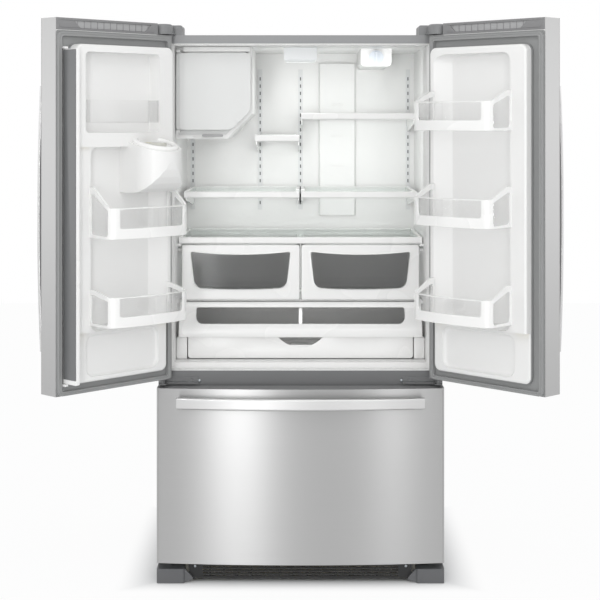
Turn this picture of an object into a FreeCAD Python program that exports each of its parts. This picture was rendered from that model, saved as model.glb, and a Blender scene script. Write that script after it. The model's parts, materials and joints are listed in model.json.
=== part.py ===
"""French door refrigerator with a bottom freezer drawer, as a parametric document.

Millimetres, +Z up, floor at Z = 0, +Y to the back, X = 0 on the centre line.
Depths are counted from the front edge plane that the doors and the drawer share.
"""
import FreeCAD, Part
import math
import operator
import os
import Sketcher
from types import SimpleNamespace
from FreeCAD import Placement, Rotation, Vector

SIZES = {
    # cabinet
    "cabinet_width": 905,
    "cabinet_depth": 735,
    "flange_depth": 65,
    "origin_setback": 237.6,
    "steel": 1.2,
    "plastic": 2.5,
    "flange_width": 30,
    "top_flange": 27,
    # heights, from the floor up
    "shell_lift": 40,
    "drawer_lift": 66,
    "drawer_height": 549,
    "door_gap": 27.6,
    "door_height": 1118,
    "door_rise": 32,
    "rail_overlap": 25,
    "sill_rise": 17.4,
    # fresh-food compartment
    "side_wall": 47.5,
    "fridge_depth": 575,
    "mouth_depth": 40,
    "floor_step": 17.5,
    "ceiling_wall": 32.6,
    # freezer compartment
    "freezer_wall": 57.5,
    "freezer_depth": 547,
    "freezer_step_depth": 455,
    "freezer_step_height": 210,
    "freezer_sill": 44,
    "partition": 12,
    # doors
    "door_split": 4,
    "door_bulge": 26,
    "door_back": 51.2,
    "gasket_thick": 13.5,
    "gasket_width": 13,
    "gasket_inset": 14,
    "pin_inset": 16.7,
    "pin_depth": 27.1,
    "pin_radius": 5,
    "pin_reach": 20,
    "door_open_angle": 133.9,
    "cap_height": 36,
    "bottom_cap_height": 26,
    "corner_drop": 34.6,
    "corner_length": 57,
    "dyke_hinge_inset": 34,
    "dyke_free_inset": 41.5,
    "dyke_bottom_inset": 32,
    "dyke_top_inset": 78,
    "dyke_crest": 90,
    "dyke_low_crest": 68,
    "dyke_top_crest": 100,
    "dyke_corner": 22,
    "valley_floor": 58,
    "valley_corner": 28,
    "alcove_corner": 14,
    "valley_low_lift": 46,
    "valley_split_lift": 185,
    "valley_hinge": 60,
    "valley_free_inset": 98.5,
    "ledge_rise": 35,
    "ledge_drop": 7,
    "alcove_hinge": 92,
    "alcove_free_inset": 72.5,
    "alcove_top_drop": 100,
    # door bins
    "bin_hinge": 51,
    "bin_free_inset": 94.5,
    "bin_corner": 190,
    "bin_bow": 18,
    "bin_wall": 3,
    "left_low_bin_lift": 203,
    "left_low_bin_rim": 91,
    "left_low_bin_back": 109,
    "left_mid_bin_drop": 132,
    "left_mid_bin_rim": 93,
    "left_mid_bin_back": 153,
    "left_top_bin_rise": 30,
    "left_top_bin_rim": 70,
    "right_low_bin_lift": 204,
    "right_low_bin_rim": 82,
    "right_low_bin_back": 121,
    "right_mid_bin_lift": 494,
    "right_mid_bin_rim": 87,
    "right_mid_bin_back": 124,
    "right_top_bin_lift": 782,
    "right_top_bin_rim": 89,
    "right_top_bin_back": 122,
    # handles
    "handle_low_lift": 118,
    "handle_length": 800,
    "handle_inset": 48,
    "handle_wide": 34,
    "handle_thick": 12,
    "handle_stand": 46,
    "handle_bow": 14,
    "drawer_handle_inset": 65.5,
    "drawer_handle_drop": 40,
    "drawer_handle_height": 36,
    "stud_radius": 9,
    # flip mullion
    "mullion_width": 64,
    "mullion_thick": 18,
    "mullion_face_inset": 17.5,
    "mullion_start": 57,
    "mullion_low_lift": 38.6,
    "mullion_top_drop": 93.6,
    "mullion_pin_inset": 3,
    "mullion_pin_d": 68.5,
    "mullion_pin_radius": 2.5,
    # ice chute and dispenser
    "chute_u": 138,
    "chute_d": 135,
    "chute_radius": 78,
    "chute_height": 147,
    "chute_front": 50,
    "chute_ring_drop": 13.4,
    "chute_ring_radius": 62,
    "chute_ring_tube": 8,
    "chute_bore": 34.5,
    "chute_tilt": 15,
    "dispenser_hinge": 70,
    "dispenser_wide": 240,
    "dispenser_low_lift": 380,
    "dispenser_height": 330,
    "dispenser_deep": 52,
    "dispenser_panel_height": 96,
    "paddle_wide": 66,
    "paddle_height": 96,
    "paddle_thick": 5,
    # shelves and drawers inside
    "interior_front": 222,
    "shelf_thick": 22,
    "glass_thick": 4,
    "shelf_side_gap": 21,
    "shelf_split": 4,
    "ice_side_gap": 7,
    "shelf_back_gap": 22,
    "upper_shelf_top": 1482,
    "small_shelf_top": 1409,
    "middle_shelf_top": 1223,
    "crisper_cover_top": 1073,
    "crisper_top": 1047,
    "crisper_low": 866,
    "crisper_wall": 3,
    "crisper_side_gap": 14,
    "crisper_back_gap": 46,
    "pantry_top": 860,
    "pantry_lip": 754,
    "pantry_side_gap": 10,
    "pantry_front": 146,
    "pan_side_gap": 39,
    "pan_low": 683,
    "pan_front": 168,
    "pan_back_gap": 62,
    "pantry_cover_top": 865.5,
    "ladder_width": 16,
    "ladder_thick": 4,
    "ladder_low": 1140,
    "ladder_drop": 56,
    # ice compartment
    "ice_width": 248,
    "ice_front": 128,
    "ice_height": 298,
    "ice_door_rise": 28,
    "ice_door_drop": 20,
    "ice_door_thick": 20,
    "ice_depth": 400,
    "ice_wall": 12,
    "ice_chamfer": 80,
    "ice_door_gap": 1.5,
    "ice_pin_inset": 8,
    "ice_pin_radius": 3,
    # light and water filter
    "light_half": 54,
    "light_drop": 46,
    "light_depth": 205,
    "filter_x": 253,
    "filter_radius": 24,
    "filter_housing_half": 51,
    "filter_housing_drop": 58,
    "filter_depth": 290,
    "filter_length": 200,
    # base and machine compartment
    "base_rail": 40,
    "foam_lift": 82,
    "machine_depth": 235,
    "machine_top": 290,
    "foot_radius": 19,
    "foot_height": 10,
    "stud_thread": 5,
    "foot_setback": 26,
    "roller_radius": 22,
    "roller_width": 18,
    "axle_radius": 4,
    "roller_inset": 62,
    "running_gap": 0.06,
    "face_gap": 0.3,
    "slide_gap": 0.6,
    "grille_inset": 100.5,
    "louvre_inset": 44,
    "grille_low": 12,
    "grille_high": 62,
    "grille_depth": 22,
    "foot_cover_width": 87.5,
    "foot_cover_height": 46,
    "compressor_radius": 72,
    "compressor_height": 150,
    "compressor_inset": 212.5,
    "coil_tube": 4,
    "condenser_half": 70,
    "condenser_deep": 130,
    "condenser_offset": 140,
    "coil_step": 45,
    "condenser_height": 150,
    "fan_radius": 62,
    "fan_hub": 16,
    "fan_shaft": 3,
    "fan_x": 60,
    # freezer drawer
    "inner_panel_thick": 18,
    "basket_side_gap": 45,
    "basket_depth": 400,
    "basket_low": 150,
    "basket_top": 355,
    "upper_basket_low": 410,
    "upper_basket_top": 500,
    "rail_height": 36,
    "rail_thick": 5,
    "slide_level": 375,
    "slide_length": 430,
}
THROUGH = 1.0
DOC = FreeCAD.newDocument("FrenchDoorRefrigerator")
NODES = {}


class Size:
    """A length known as a number and as the expression that gives it from the sheet."""

    def __init__(self, value, text):
        self.value = float(value)
        self.text = text

    def join(self, other, sign, turned=False):
        other = other if isinstance(other, Size) else Size(other, repr(other))
        first, second = (other, self) if turned else (self, other)
        work = {"+": operator.add, "-": operator.sub, "*": operator.mul, "/": operator.truediv}
        return Size(work[sign](first.value, second.value), f"({first.text} {sign} {second.text})")

    def __add__(self, other):
        return self.join(other, "+")

    def __radd__(self, other):
        return self.join(other, "+", True)

    def __sub__(self, other):
        return self.join(other, "-")

    def __rsub__(self, other):
        return self.join(other, "-", True)

    def __mul__(self, other):
        return self.join(other, "*")

    def __rmul__(self, other):
        return self.join(other, "*", True)

    def __truediv__(self, other):
        return self.join(other, "/")

    def __neg__(self):
        return Size(-self.value, f"(-1 * {self.text})")

    def __float__(self):
        return self.value


def write_sheet():
    """Put every size in the sheet and hand each one back by its alias."""
    sheet = DOC.addObject("Spreadsheet::Sheet", "Sizes")
    for row, (alias, value) in enumerate(SIZES.items(), start=1):
        sheet.set(f"A{row}", alias)
        sheet.set(f"B{row}", str(value))
        sheet.setAlias(f"B{row}", alias)
    DOC.recompute()
    return SimpleNamespace(**{alias: Size(sheet.get(alias), f"Sizes.{alias}") for alias in SIZES})


S = write_sheet()


# ---------------------------------------------------------------- building blocks
def bind(item, prop, size):
    """Tie one property to its expression, or set it where the size is a plain number."""
    size = size if isinstance(size, Size) else Size(size, repr(float(size)))
    item.setExpression(prop, size.text)


def add(kind, **links):
    """A new document object with its plain properties set."""
    item = DOC.addObject(kind, kind.split("::")[1])
    for name, value in links.items():
        setattr(item, name, value)
    return item


def box(x, y, z):
    """A block between two planes on each axis."""
    block = add("Part::Box")
    for prop, axis, (low, high) in zip(("Length", "Width", "Height"), "xyz", (x, y, z)):
        bind(block, prop, high - low)
        bind(block, "Placement.Base." + axis, low)
    return block


TURNS = {"x": Rotation(Vector(0, 1, 0), 90), "y": Rotation(Vector(1, 0, 0), -90), "z": Rotation()}


def rod(axis, start, radius, length):
    """A cylinder from a point towards the positive side of an axis."""
    cylinder = add("Part::Cylinder", Placement=Placement(Vector(), TURNS[axis]))
    bind(cylinder, "Radius", radius)
    bind(cylinder, "Height", length)
    for name, place in zip("xyz", start):
        bind(cylinder, "Placement.Base." + name, place)
    return cylinder


def fuse(*parts):
    return parts[0] if len(parts) == 1 else add("Part::MultiFuse", Shapes=list(parts), Refine=True)


def cut(base, *tools):
    return add("Part::Cut", Base=base, Tool=fuse(*tools), Refine=True)


def group(*parts):
    """Separate solids that share one node."""
    return add("Part::Compound", Links=list(parts))


def both(reach):
    return (-reach, reach)


def span(low, length):
    return (low, low + length)


def about(middle, width):
    return (middle - width / 2, middle + width / 2)


def edges_along(direction, keep=lambda middle: True):
    """A test for straight edges that run along one direction and whose middle is wanted."""
    def test(edge):
        ends = [vertex.Point for vertex in edge.Vertexes]
        if len(ends) < 2 or edge.Curve.TypeId != "Part::GeomLine":
            return False
        along = (ends[1] - ends[0]).normalize()
        return abs(along.dot(direction)) > 0.999 and keep((ends[0] + ends[1]) * 0.5)
    return test


def rounded(item, radius, test):
    """Fillet the edges that a test picks."""
    DOC.recompute()
    picked = [(index, float(radius), float(radius))
              for index, edge in enumerate(item.Shape.Edges, start=1) if test(edge)]
    return add("Part::Fillet", Base=item, Edges=picked)


def computed(shape):
    """An object whose shape is worked out with Part's own functions."""
    return add("Part::Feature", Shape=shape)


def polygon_prism(points, plane, low, high):
    """A prism on a closed outline; plane names the two axes of the outline's points."""
    axes = {"xz": (lambda a, b: Vector(a, low, b), Vector(0, high - low, 0)),
            "yz": (lambda a, b: Vector(low, a, b), Vector(high - low, 0, 0)),
            "xy": (lambda a, b: Vector(a, b, low), Vector(0, 0, high - low))}
    place, sweep = axes[plane]
    corners = [place(float(a), float(b)) for a, b in points]
    return Part.Face(Part.makePolygon(corners + corners[:1])).extrude(sweep)


def sketch_body(label, role, points, offset):
    """A PartDesign body with one closed sketch whose corners are bound to the sheet."""
    body = DOC.addObject("PartDesign::Body", label)
    sketch = body.newObject("Sketcher::SketchObject", label + "_outline")
    plane = next(item for item in body.Origin.OriginFeatures if item.Role == role)
    sketch.AttachmentSupport = [(plane, "")]
    sketch.MapMode = "FlatFace"
    bind(sketch, "AttachmentOffset.Base.z", offset)
    count = len(points)
    flat = [Vector(float(a), float(b), 0) for a, b in points]
    for index in range(count):
        sketch.addGeometry(Part.LineSegment(flat[index], flat[(index + 1) % count]), False)
    for index in range(count):
        sketch.addConstraint(Sketcher.Constraint("Coincident", index, 2, (index + 1) % count, 1))
    for index, corner in enumerate(points):
        for way, size in zip(("DistanceX", "DistanceY"), corner):
            number = sketch.addConstraint(Sketcher.Constraint(way, -1, 1, index, 1, float(size)))
            if isinstance(size, Size):
                sketch.setExpression(f"Constraints[{number}]", size.text)
    return body, sketch


def padded(label, role, points, offset, length):
    """A padded profile."""
    body, sketch = sketch_body(label, role, points, offset)
    pad = body.newObject("PartDesign::Pad", label + "_pad")
    pad.Profile = sketch
    bind(pad, "Length", length)
    sketch.Visibility = False
    return body


def turned(label, points, axis_x, axis_y, base_z=0):
    """A body turned about a vertical line from a profile of radius and height."""
    body, sketch = sketch_body(label, "XZ_Plane", points, 0)
    spin = body.newObject("PartDesign::Revolution", label + "_turn")
    spin.Profile = sketch
    spin.ReferenceAxis = (sketch, ["V_Axis"])
    spin.Angle = 360
    for name, place in zip("xyz", (axis_x, axis_y, base_z)):
        bind(body, "Placement.Base." + name, place)
    return body


def node(name, item):
    """Name a finished sub-part."""
    item.Label = name
    NODES[name] = item
    return item


# ---------------------------------------------------------------- shared planes
def deep(depth):
    """The Y of a plane at a depth behind the doors' front edge plane."""
    return depth - S.origin_setback


HALF = S.cabinet_width / 2
FLANGE = deep(S.flange_depth)
BACK = deep(S.flange_depth + S.cabinet_depth)
DRAWER_TOP = S.drawer_lift + S.drawer_height
DOOR_LOW = DRAWER_TOP + S.door_gap
DOOR_TOP = DOOR_LOW + S.door_height
CABINET_TOP = DOOR_TOP - S.door_rise
RAIL_LOW = DRAWER_TOP - S.rail_overlap
RAIL_TOP = DOOR_LOW + S.sill_rise
MOUTH_TOP = CABINET_TOP - S.top_flange
MOUTH_HALF = HALF - S.flange_width
FRIDGE_HALF = HALF - S.side_wall
FRIDGE_FLOOR = RAIL_TOP + S.floor_step + S.plastic
FRIDGE_TOP = CABINET_TOP - S.ceiling_wall
FRIDGE_BACK = deep(S.flange_depth + S.fridge_depth)
MOUTH_BACK = deep(S.flange_depth + S.mouth_depth)
FREEZER_HALF = HALF - S.freezer_wall
FREEZER_FLOOR = S.drawer_lift + S.freezer_sill
FREEZER_TOP = RAIL_LOW - S.partition
FREEZER_BACK = deep(S.flange_depth + S.freezer_depth)
STEP_TOP = FREEZER_FLOOR + S.freezer_step_height
STEP_BACK = deep(S.flange_depth + S.freezer_step_depth)
MACHINE_FRONT = BACK - S.machine_depth
INNER_HALF = HALF - S.steel
RAIL_CHANNEL = 18
COVER_FRONT = FREEZER_BACK - 44
VALVE_X = HALF - 77.5
INLET_RADIUS = 5.56
INLET_REACH = 12
DECK_TOP = S.shell_lift + 2
VALVE_Z = DECK_TOP + 30
DOOR_WIDE = (S.cabinet_width - S.door_split) / 2
GRILLE_HALF = HALF - S.grille_inset
LOUVRE_HALF = GRILLE_HALF - S.louvre_inset
FOOT_COVER_INNER = HALF - S.foot_cover_width
SHELF_HALF = FRIDGE_HALF - S.shelf_side_gap
CRISPER_HALF = FRIDGE_HALF - S.crisper_side_gap
PANTRY_HALF = FRIDGE_HALF - S.pantry_side_gap
PAN_HALF = FRIDGE_HALF - S.pan_side_gap
BASKET_HALF = FREEZER_HALF - S.basket_side_gap
ICE_RIGHT = S.ice_width - FRIDGE_HALF
ICE_LOW = FRIDGE_TOP - S.ice_height
ICE_DOOR_LOW = ICE_LOW + S.ice_door_rise
ICE_DOOR_TOP = FRIDGE_TOP - S.ice_door_drop
LADDER_TOP = FRIDGE_TOP - S.ladder_drop


# ---------------------------------------------------------------- cabinet
def cabinet_shell():
    """Painted steel wrapper: two sides and a top, with a front flange turned inwards."""
    outer = box(both(HALF), (FLANGE, BACK), (S.shell_lift, CABINET_TOP))
    inner = box(both(INNER_HALF), (FLANGE + S.steel, BACK + THROUGH),
                (S.shell_lift - THROUGH, CABINET_TOP - S.steel))
    opening = box(both(MOUTH_HALF), (FLANGE - THROUGH, FLANGE + S.steel + THROUGH),
                  (S.shell_lift - THROUGH, MOUTH_TOP))
    return node("cabinet_shell", cut(outer, inner, opening))


def rear_panels():
    """Flat steel back, and the slotted cover of the machine compartment below it."""
    sheet = (BACK - S.steel, BACK)
    back = box(both(INNER_HALF), sheet, (S.machine_top, CABINET_TOP - S.steel))
    cover = box(both(INNER_HALF), sheet, (S.shell_lift + S.steel, S.machine_top - S.face_gap))
    slots = []
    inlet = rod("y", (-VALVE_X, BACK - S.steel - THROUGH, VALVE_Z), INLET_RADIUS + 1.5, 4)
    rows, columns = 3, 16
    pitch_x = (INNER_HALF * 2 - 160) / columns
    pitch_z = (S.machine_top - S.shell_lift - 70) / rows
    for row in range(rows):
        for column in range(columns):
            middle = -INNER_HALF + 80 + pitch_x * (column + 0.5)
            low = S.shell_lift + 35 + pitch_z * (row + 0.15)
            slots.append(box(about(middle, pitch_x * 0.3), (BACK - S.steel - THROUGH, BACK + THROUGH),
                             span(low, pitch_z * 0.7)))
    return node("rear_panels", group(back, cut(cover, inlet, *slots)))


def fridge_space(wall):
    ceiling = MOUTH_TOP - S.plastic
    mouth = box(both(MOUTH_HALF - S.plastic + wall), (FLANGE, MOUTH_BACK - S.plastic + wall),
                (RAIL_TOP + S.plastic - wall, ceiling + wall))
    room = box(both(FRIDGE_HALF + wall), (MOUTH_BACK - S.plastic, FRIDGE_BACK + wall),
               (FRIDGE_FLOOR - wall, FRIDGE_TOP + wall))
    return fuse(mouth, room)


def freezer_space(wall):
    mouth = box(both(MOUTH_HALF - S.plastic + wall), (FLANGE, MOUTH_BACK - S.plastic + wall),
                (FREEZER_FLOOR - S.partition - wall, RAIL_LOW - S.plastic + wall))
    upper = box(both(FREEZER_HALF + wall), (MOUTH_BACK - S.plastic, FREEZER_BACK + wall),
                (STEP_TOP - wall, FREEZER_TOP + wall))
    lower = box(both(FREEZER_HALF + wall), (MOUTH_BACK - S.plastic, STEP_BACK + wall),
                (FREEZER_FLOOR - wall, FREEZER_TOP + wall))
    return fuse(mouth, upper, lower)


LEDGE_WIDE = 18
LEDGE_THICK = 8
RIM_FLANGE = 3
RUNNER_START = 16
UPPER_RIM = S.upper_basket_top - 20
PAN_RIM = S.pantry_lip + 6
CRISPER_RIM = S.crisper_top - 10
COVER_HALF = FRIDGE_HALF - 4
PANTRY_COVER = 5


def ledge_pair(half, wide, y, top):
    """Two ledges moulded on a compartment's side walls."""
    left = box((-half - S.plastic / 2, -half + wide), y, (top - LEDGE_THICK, top))
    right = box((half - wide, half + S.plastic / 2), y, (top - LEDGE_THICK, top))
    return [left, right]


def fridge_liner():
    """White moulded liner of the fresh-food compartment with the ledges its drawers run on."""
    shell = cut(fridge_space(S.plastic), fridge_space(0))
    back = FRIDGE_BACK + S.plastic / 2
    front = deep(S.interior_front)
    ledges = ledge_pair(FRIDGE_HALF, LEDGE_WIDE - 6, (front, back), S.crisper_cover_top - S.shelf_thick)
    ledges += ledge_pair(FRIDGE_HALF, LEDGE_WIDE + 3, (front + RUNNER_START, back),
                         CRISPER_RIM - RIM_FLANGE - S.face_gap)
    ledges += ledge_pair(FRIDGE_HALF, LEDGE_WIDE, (front + RUNNER_START, back),
                         S.pantry_cover_top - PANTRY_COVER)
    ledges += ledge_pair(FRIDGE_HALF, LEDGE_WIDE, (front, back), PAN_RIM - RIM_FLANGE - S.face_gap)
    return node("fridge_liner", fuse(shell, *ledges))


def freezer_liner():
    """White moulded liner of the freezer, stepped over the machine compartment."""
    shell = cut(freezer_space(S.plastic), freezer_space(0))
    depth = (deep(S.interior_front) - 90, COVER_FRONT - S.face_gap)
    return node("freezer_liner", fuse(shell, *ledge_pair(FREEZER_HALF, LEDGE_WIDE - 3, depth,
                                                         UPPER_RIM - RIM_FLANGE - S.face_gap)))


def cabinet_foam():
    """Rigid foam that fills the cabinet's walls, back and partition."""
    block = box(both(INNER_HALF), (FLANGE + S.steel, BACK - S.steel),
                (S.foam_lift, CABINET_TOP - S.steel))
    machine = box(both(INNER_HALF + THROUGH), (MACHINE_FRONT, BACK),
                  (S.foam_lift - THROUGH, S.machine_top))
    rail = box(both(MOUTH_HALF), (FLANGE, FLANGE + RAIL_CHANNEL), (RAIL_LOW, RAIL_TOP))
    return node("cabinet_foam", cut(block, machine, rail, fridge_space(S.plastic),
                                    freezer_space(S.plastic)))


def center_rail():
    """Grey channel across the front of the partition."""
    sheet = S.steel * 1.5
    rim = FLANGE + RAIL_CHANNEL
    profile = [(FLANGE, RAIL_LOW), (rim, RAIL_LOW), (rim, RAIL_LOW + sheet),
               (FLANGE + sheet, RAIL_LOW + sheet), (FLANGE + sheet, RAIL_TOP - sheet),
               (rim, RAIL_TOP - sheet), (rim, RAIL_TOP), (FLANGE, RAIL_TOP)]
    return node("center_rail", padded("Rail", "YZ_Plane", profile, -MOUTH_HALF, MOUTH_HALF * 2))


FRAME_SHEET = 2
PAN_X = VALVE_X - 125
FOOT_X = INNER_HALF - S.base_rail / 2
FOOT_Y = FLANGE + S.foot_setback
ROLLER_Y = BACK - S.roller_inset
AXLE_LENGTH = S.roller_width + 14


def base_frame():
    """Two side channels, a front cross member and a machine deck, with a drip pan on the deck."""
    parts = []
    holes = []
    for side in (-1, 1):
        outer, inner = side * INNER_HALF, side * (INNER_HALF - S.base_rail)
        x = (outer, inner) if side < 0 else (inner, outer)
        channel = box(x, (FLANGE + S.steel, BACK - S.steel), (S.shell_lift, S.foam_lift))
        hollow = box((x[0] + FRAME_SHEET, x[1] - FRAME_SHEET),
                     (FLANGE + S.steel + FRAME_SHEET, BACK - S.steel - FRAME_SHEET),
                     (S.shell_lift + FRAME_SHEET, S.foam_lift - FRAME_SHEET))
        parts.append(cut(channel, hollow))
        holes.append(rod("z", (side * FOOT_X, FOOT_Y, S.shell_lift - THROUGH),
                         S.stud_thread + S.running_gap, FRAME_SHEET + 2 * THROUGH))
        for ear_side in (-1, 1):
            middle = side * FOOT_X + ear_side * (S.roller_width / 2 + 3)
            ear = box(about(middle, FRAME_SHEET), about(ROLLER_Y, 30),
                      (S.roller_radius - 10, S.shell_lift + FRAME_SHEET))
            parts.append(ear)
        holes.append(rod("x", (side * FOOT_X - S.roller_width, ROLLER_Y, S.roller_radius),
                         S.axle_radius + S.running_gap, S.roller_width * 2))
        holes.append(box(about(side * FOOT_X, S.roller_width + 4),
                         about(ROLLER_Y, S.roller_radius * 2 + 6),
                         (S.shell_lift - THROUGH, S.shell_lift + FRAME_SHEET + THROUGH)))
    deck_half = INNER_HALF - S.base_rail
    parts.append(box(both(deck_half), (MACHINE_FRONT, BACK - S.steel),
                     span(S.shell_lift, FRAME_SHEET)))
    parts.append(box(both(deck_half), (FLANGE + S.steel, FLANGE + S.steel + 30),
                     (S.shell_lift + 12, S.foam_lift)))
    parts.append(box(both(MOUTH_HALF - S.face_gap), (FLANGE, FLANGE + S.steel),
                     (S.shell_lift + 12, FREEZER_FLOOR - S.partition - S.plastic)))
    pan_x = about(-PAN_X, S.condenser_half * 2 + 20)
    pan_y = (MACHINE_FRONT + 20, BACK - 30)
    pan = cut(box(pan_x, pan_y, span(S.shell_lift + FRAME_SHEET, 18)),
              box((pan_x[0] + FRAME_SHEET, pan_x[1] - FRAME_SHEET),
                  (pan_y[0] + FRAME_SHEET, pan_y[1] - FRAME_SHEET),
                  span(S.shell_lift + FRAME_SHEET * 2, 18)))
    return node("base_frame", group(cut(fuse(*parts), *holes), pan))


def kick_grille():
    """Dark moulded grille below the drawer: smooth ends, louvred middle, two rear legs."""
    front = deep(S.grille_depth)
    plate = padded("Grille", "XZ_Plane",
                   [(-GRILLE_HALF, S.grille_low), (GRILLE_HALF, S.grille_low),
                    (GRILLE_HALF, S.grille_high), (-GRILLE_HALF, S.grille_high)],
                   -front - 4, 4)
    rows = 4
    pitch = (S.grille_high - S.grille_low - 14) / rows
    slots = [box(both(LOUVRE_HALF), (front - THROUGH, front + 4 + THROUGH),
                 span(S.grille_low + 4 + pitch * (row + 0.25), pitch * 0.5)) for row in range(rows)]
    columns = 14
    step = LOUVRE_HALF * 2 / columns
    ribs = [box(about(-LOUVRE_HALF + step * (column + 0.5), 2), (front + 2, front + 9),
                (S.grille_low + 2, S.grille_high - 6)) for column in range(columns)]
    legs = [box(about(side * (GRILLE_HALF - 24), 10), (front + 3, FLANGE),
                (S.shell_lift + 14, S.grille_high)) for side in (-1, 1)]
    return node("kick_grille", fuse(cut(plate, *slots), *ribs, *legs))


def foot_covers():
    """Two grey corner covers over the leveling feet, each with a sloping inner wing."""
    covers = []
    for side in (-1, 1):
        inner, outer = side * FOOT_COVER_INNER, side * HALF
        wing = side * (FOOT_COVER_INNER - 26)
        x = (outer, inner) if side < 0 else (inner, outer)
        block = box(x, (deep(2), FLANGE - S.face_gap), (1.5, S.foot_cover_height))
        block = rounded(block, 6, edges_along(Vector(0, 0, 1), lambda p: p.y < float(deep(20))))
        slope = computed(polygon_prism(
            [(inner, 1.5), (wing, float(S.grille_low)), (wing, float(S.grille_low) + 6),
             (inner, float(S.foot_cover_height))], "xz", float(deep(8)), float(deep(20))))
        room = rod("z", (side * FOOT_X, FOOT_Y, 0), S.foot_radius + 3, S.foot_cover_height - 4)
        covers.append(cut(fuse(block, slope), room))
    return node("foot_covers", group(*covers))


def hinge_pin_places():
    return [side * (HALF - S.pin_inset) for side in (-1, 1)]


PLATE = 3.4
PLATE_REACH = 37
PLATE_SIDE = 12
PLATE_BACK = 85
CENTER_PLATE_Z = DRAWER_TOP + 7
BOLT_X = HALF - 105.5


def door_hinges():
    """Top plates on the cabinet roof, centre plates off the rail, each with its door pin."""
    plates = []
    pin_y = deep(S.pin_depth)
    for side, pin_x in zip((-1, 1), hinge_pin_places()):
        inner = pin_x - side * PLATE_REACH
        x = (pin_x - PLATE_SIDE, inner) if side < 0 else (inner, pin_x + PLATE_SIDE)
        top = fuse(box(x, (pin_y - PLATE_SIDE, FLANGE + PLATE_BACK), span(CABINET_TOP, PLATE)),
                   rod("z", (pin_x, pin_y, CABINET_TOP - S.pin_reach - 4), S.pin_radius,
                       S.pin_reach + 4 + PLATE))
        heads = [rod("z", (pin_x - side * (PLATE_REACH - 9), FLANGE + step, CABINET_TOP + PLATE), 6, 4)
                 for step in (25, 60)]
        bolt_inner = side * (BOLT_X - 22)
        x = (pin_x - 12, bolt_inner) if side < 0 else (bolt_inner, pin_x + 12)
        reach = (pin_x - 12, pin_x + 12)
        arm = fuse(box(reach, (pin_y - 12, FLANGE), span(CENTER_PLATE_Z, PLATE)),
                   box(x, (FLANGE - 22, FLANGE), span(CENTER_PLATE_Z, PLATE)),
                   box(x, (FLANGE - PLATE, FLANGE), (CENTER_PLATE_Z - 10, CENTER_PLATE_Z + 18)),
                   rod("z", (pin_x, pin_y, CENTER_PLATE_Z), S.pin_radius,
                       DOOR_LOW + S.pin_reach - CENTER_PLATE_Z),
                   rod("z", (pin_x, pin_y, CENTER_PLATE_Z + PLATE), S.pin_radius + 4,
                       DOOR_LOW - CENTER_PLATE_Z - PLATE - S.face_gap),
                   rod("y", (side * BOLT_X, FLANGE - PLATE - 5, CENTER_PLATE_Z + 7), 6, 5))
        plates += [fuse(top, *heads), arm]
    return node("door_hinges", group(*plates))


COVER_NOSE = 32
COVER_WALL = 2


def hinge_covers():
    """Grey rounded covers over the top hinges, with a nose around each pin."""
    covers = []
    pin_y = deep(S.pin_depth)
    low = CABINET_TOP
    high = DOOR_TOP
    for side, pin_x in zip((-1, 1), hinge_pin_places()):
        inner = side * (HALF - 76)
        outer = side * (HALF - 1)
        x = (outer, inner) if side < 0 else (inner, outer)
        nose_x = (outer, pin_x + COVER_NOSE) if side < 0 else (pin_x - COVER_NOSE, outer)
        tail = box(x, (FLANGE + 2, FLANGE + 100), (low, high))
        bridge = box(nose_x, (pin_y, FLANGE + 20), (low, high))
        nose = rod("z", (pin_x, pin_y, low), COVER_NOSE, high - low)
        trim = box((outer, outer + 60) if side > 0 else (outer - 60, outer),
                   (pin_y - 60, FLANGE + 120), (low - THROUGH, high + THROUGH))
        body = cut(fuse(tail, bridge, nose), trim)
        body = rounded(body, 8, lambda edge: edge.BoundBox.ZLength < 0.01
                       and edge.BoundBox.ZMin > float(high) - 0.01)
        room = [box((x[0] + COVER_WALL, x[1] - COVER_WALL),
                    (FLANGE + 2 + COVER_WALL, FLANGE + 100 - COVER_WALL),
                    (low - THROUGH, high - 10)),
                box((nose_x[0] + COVER_WALL, nose_x[1] - COVER_WALL), (pin_y, FLANGE + 20),
                    (low - THROUGH, high - 10)),
                box(about(pin_x, 32), (pin_y - 16, pin_y + 10), (low - THROUGH, high - 14)),
                box(about(pin_x - side * (PLATE_REACH - PLATE_SIDE) / 2, PLATE_REACH + PLATE_SIDE + 1),
                    (pin_y - PLATE_SIDE - 0.5, FLANGE + PLATE_BACK + 1),
                    (low - THROUGH, CABINET_TOP + PLATE + S.face_gap))]
        covers.append(cut(body, *room))
    return node("hinge_covers", group(*covers))


# ---------------------------------------------------------------- cooling system
MACHINE_MIDDLE = (MACHINE_FRONT + BACK) / 2
FAN_Z = DECK_TOP + S.condenser_height / 2 + 20


COMPRESSOR_X = HALF - S.compressor_inset


def compressor():
    """Domed steel pot on a base plate with four rubber feet."""
    radius, height = S.compressor_radius, S.compressor_height
    base = DECK_TOP + 14
    pot = turned("Pot", [(0, 0), (radius * 0.8, 0), (radius, height * 0.2), (radius, height * 0.75),
                         (radius * 0.8, height * 0.93), (0, height)],
                 COMPRESSOR_X, MACHINE_MIDDLE, base)
    plate = box(about(COMPRESSOR_X, radius * 2 + 24), about(MACHINE_MIDDLE, radius * 1.5),
                (base - 3, base + 0.5))
    feet = [rod("z", (COMPRESSOR_X + a * (radius + 2), MACHINE_MIDDLE + b * (radius * 0.6),
                      DECK_TOP), 8, 11) for a in (-1, 1) for b in (-1, 1)]
    return node("compressor", fuse(pot, plate, *feet))


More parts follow.
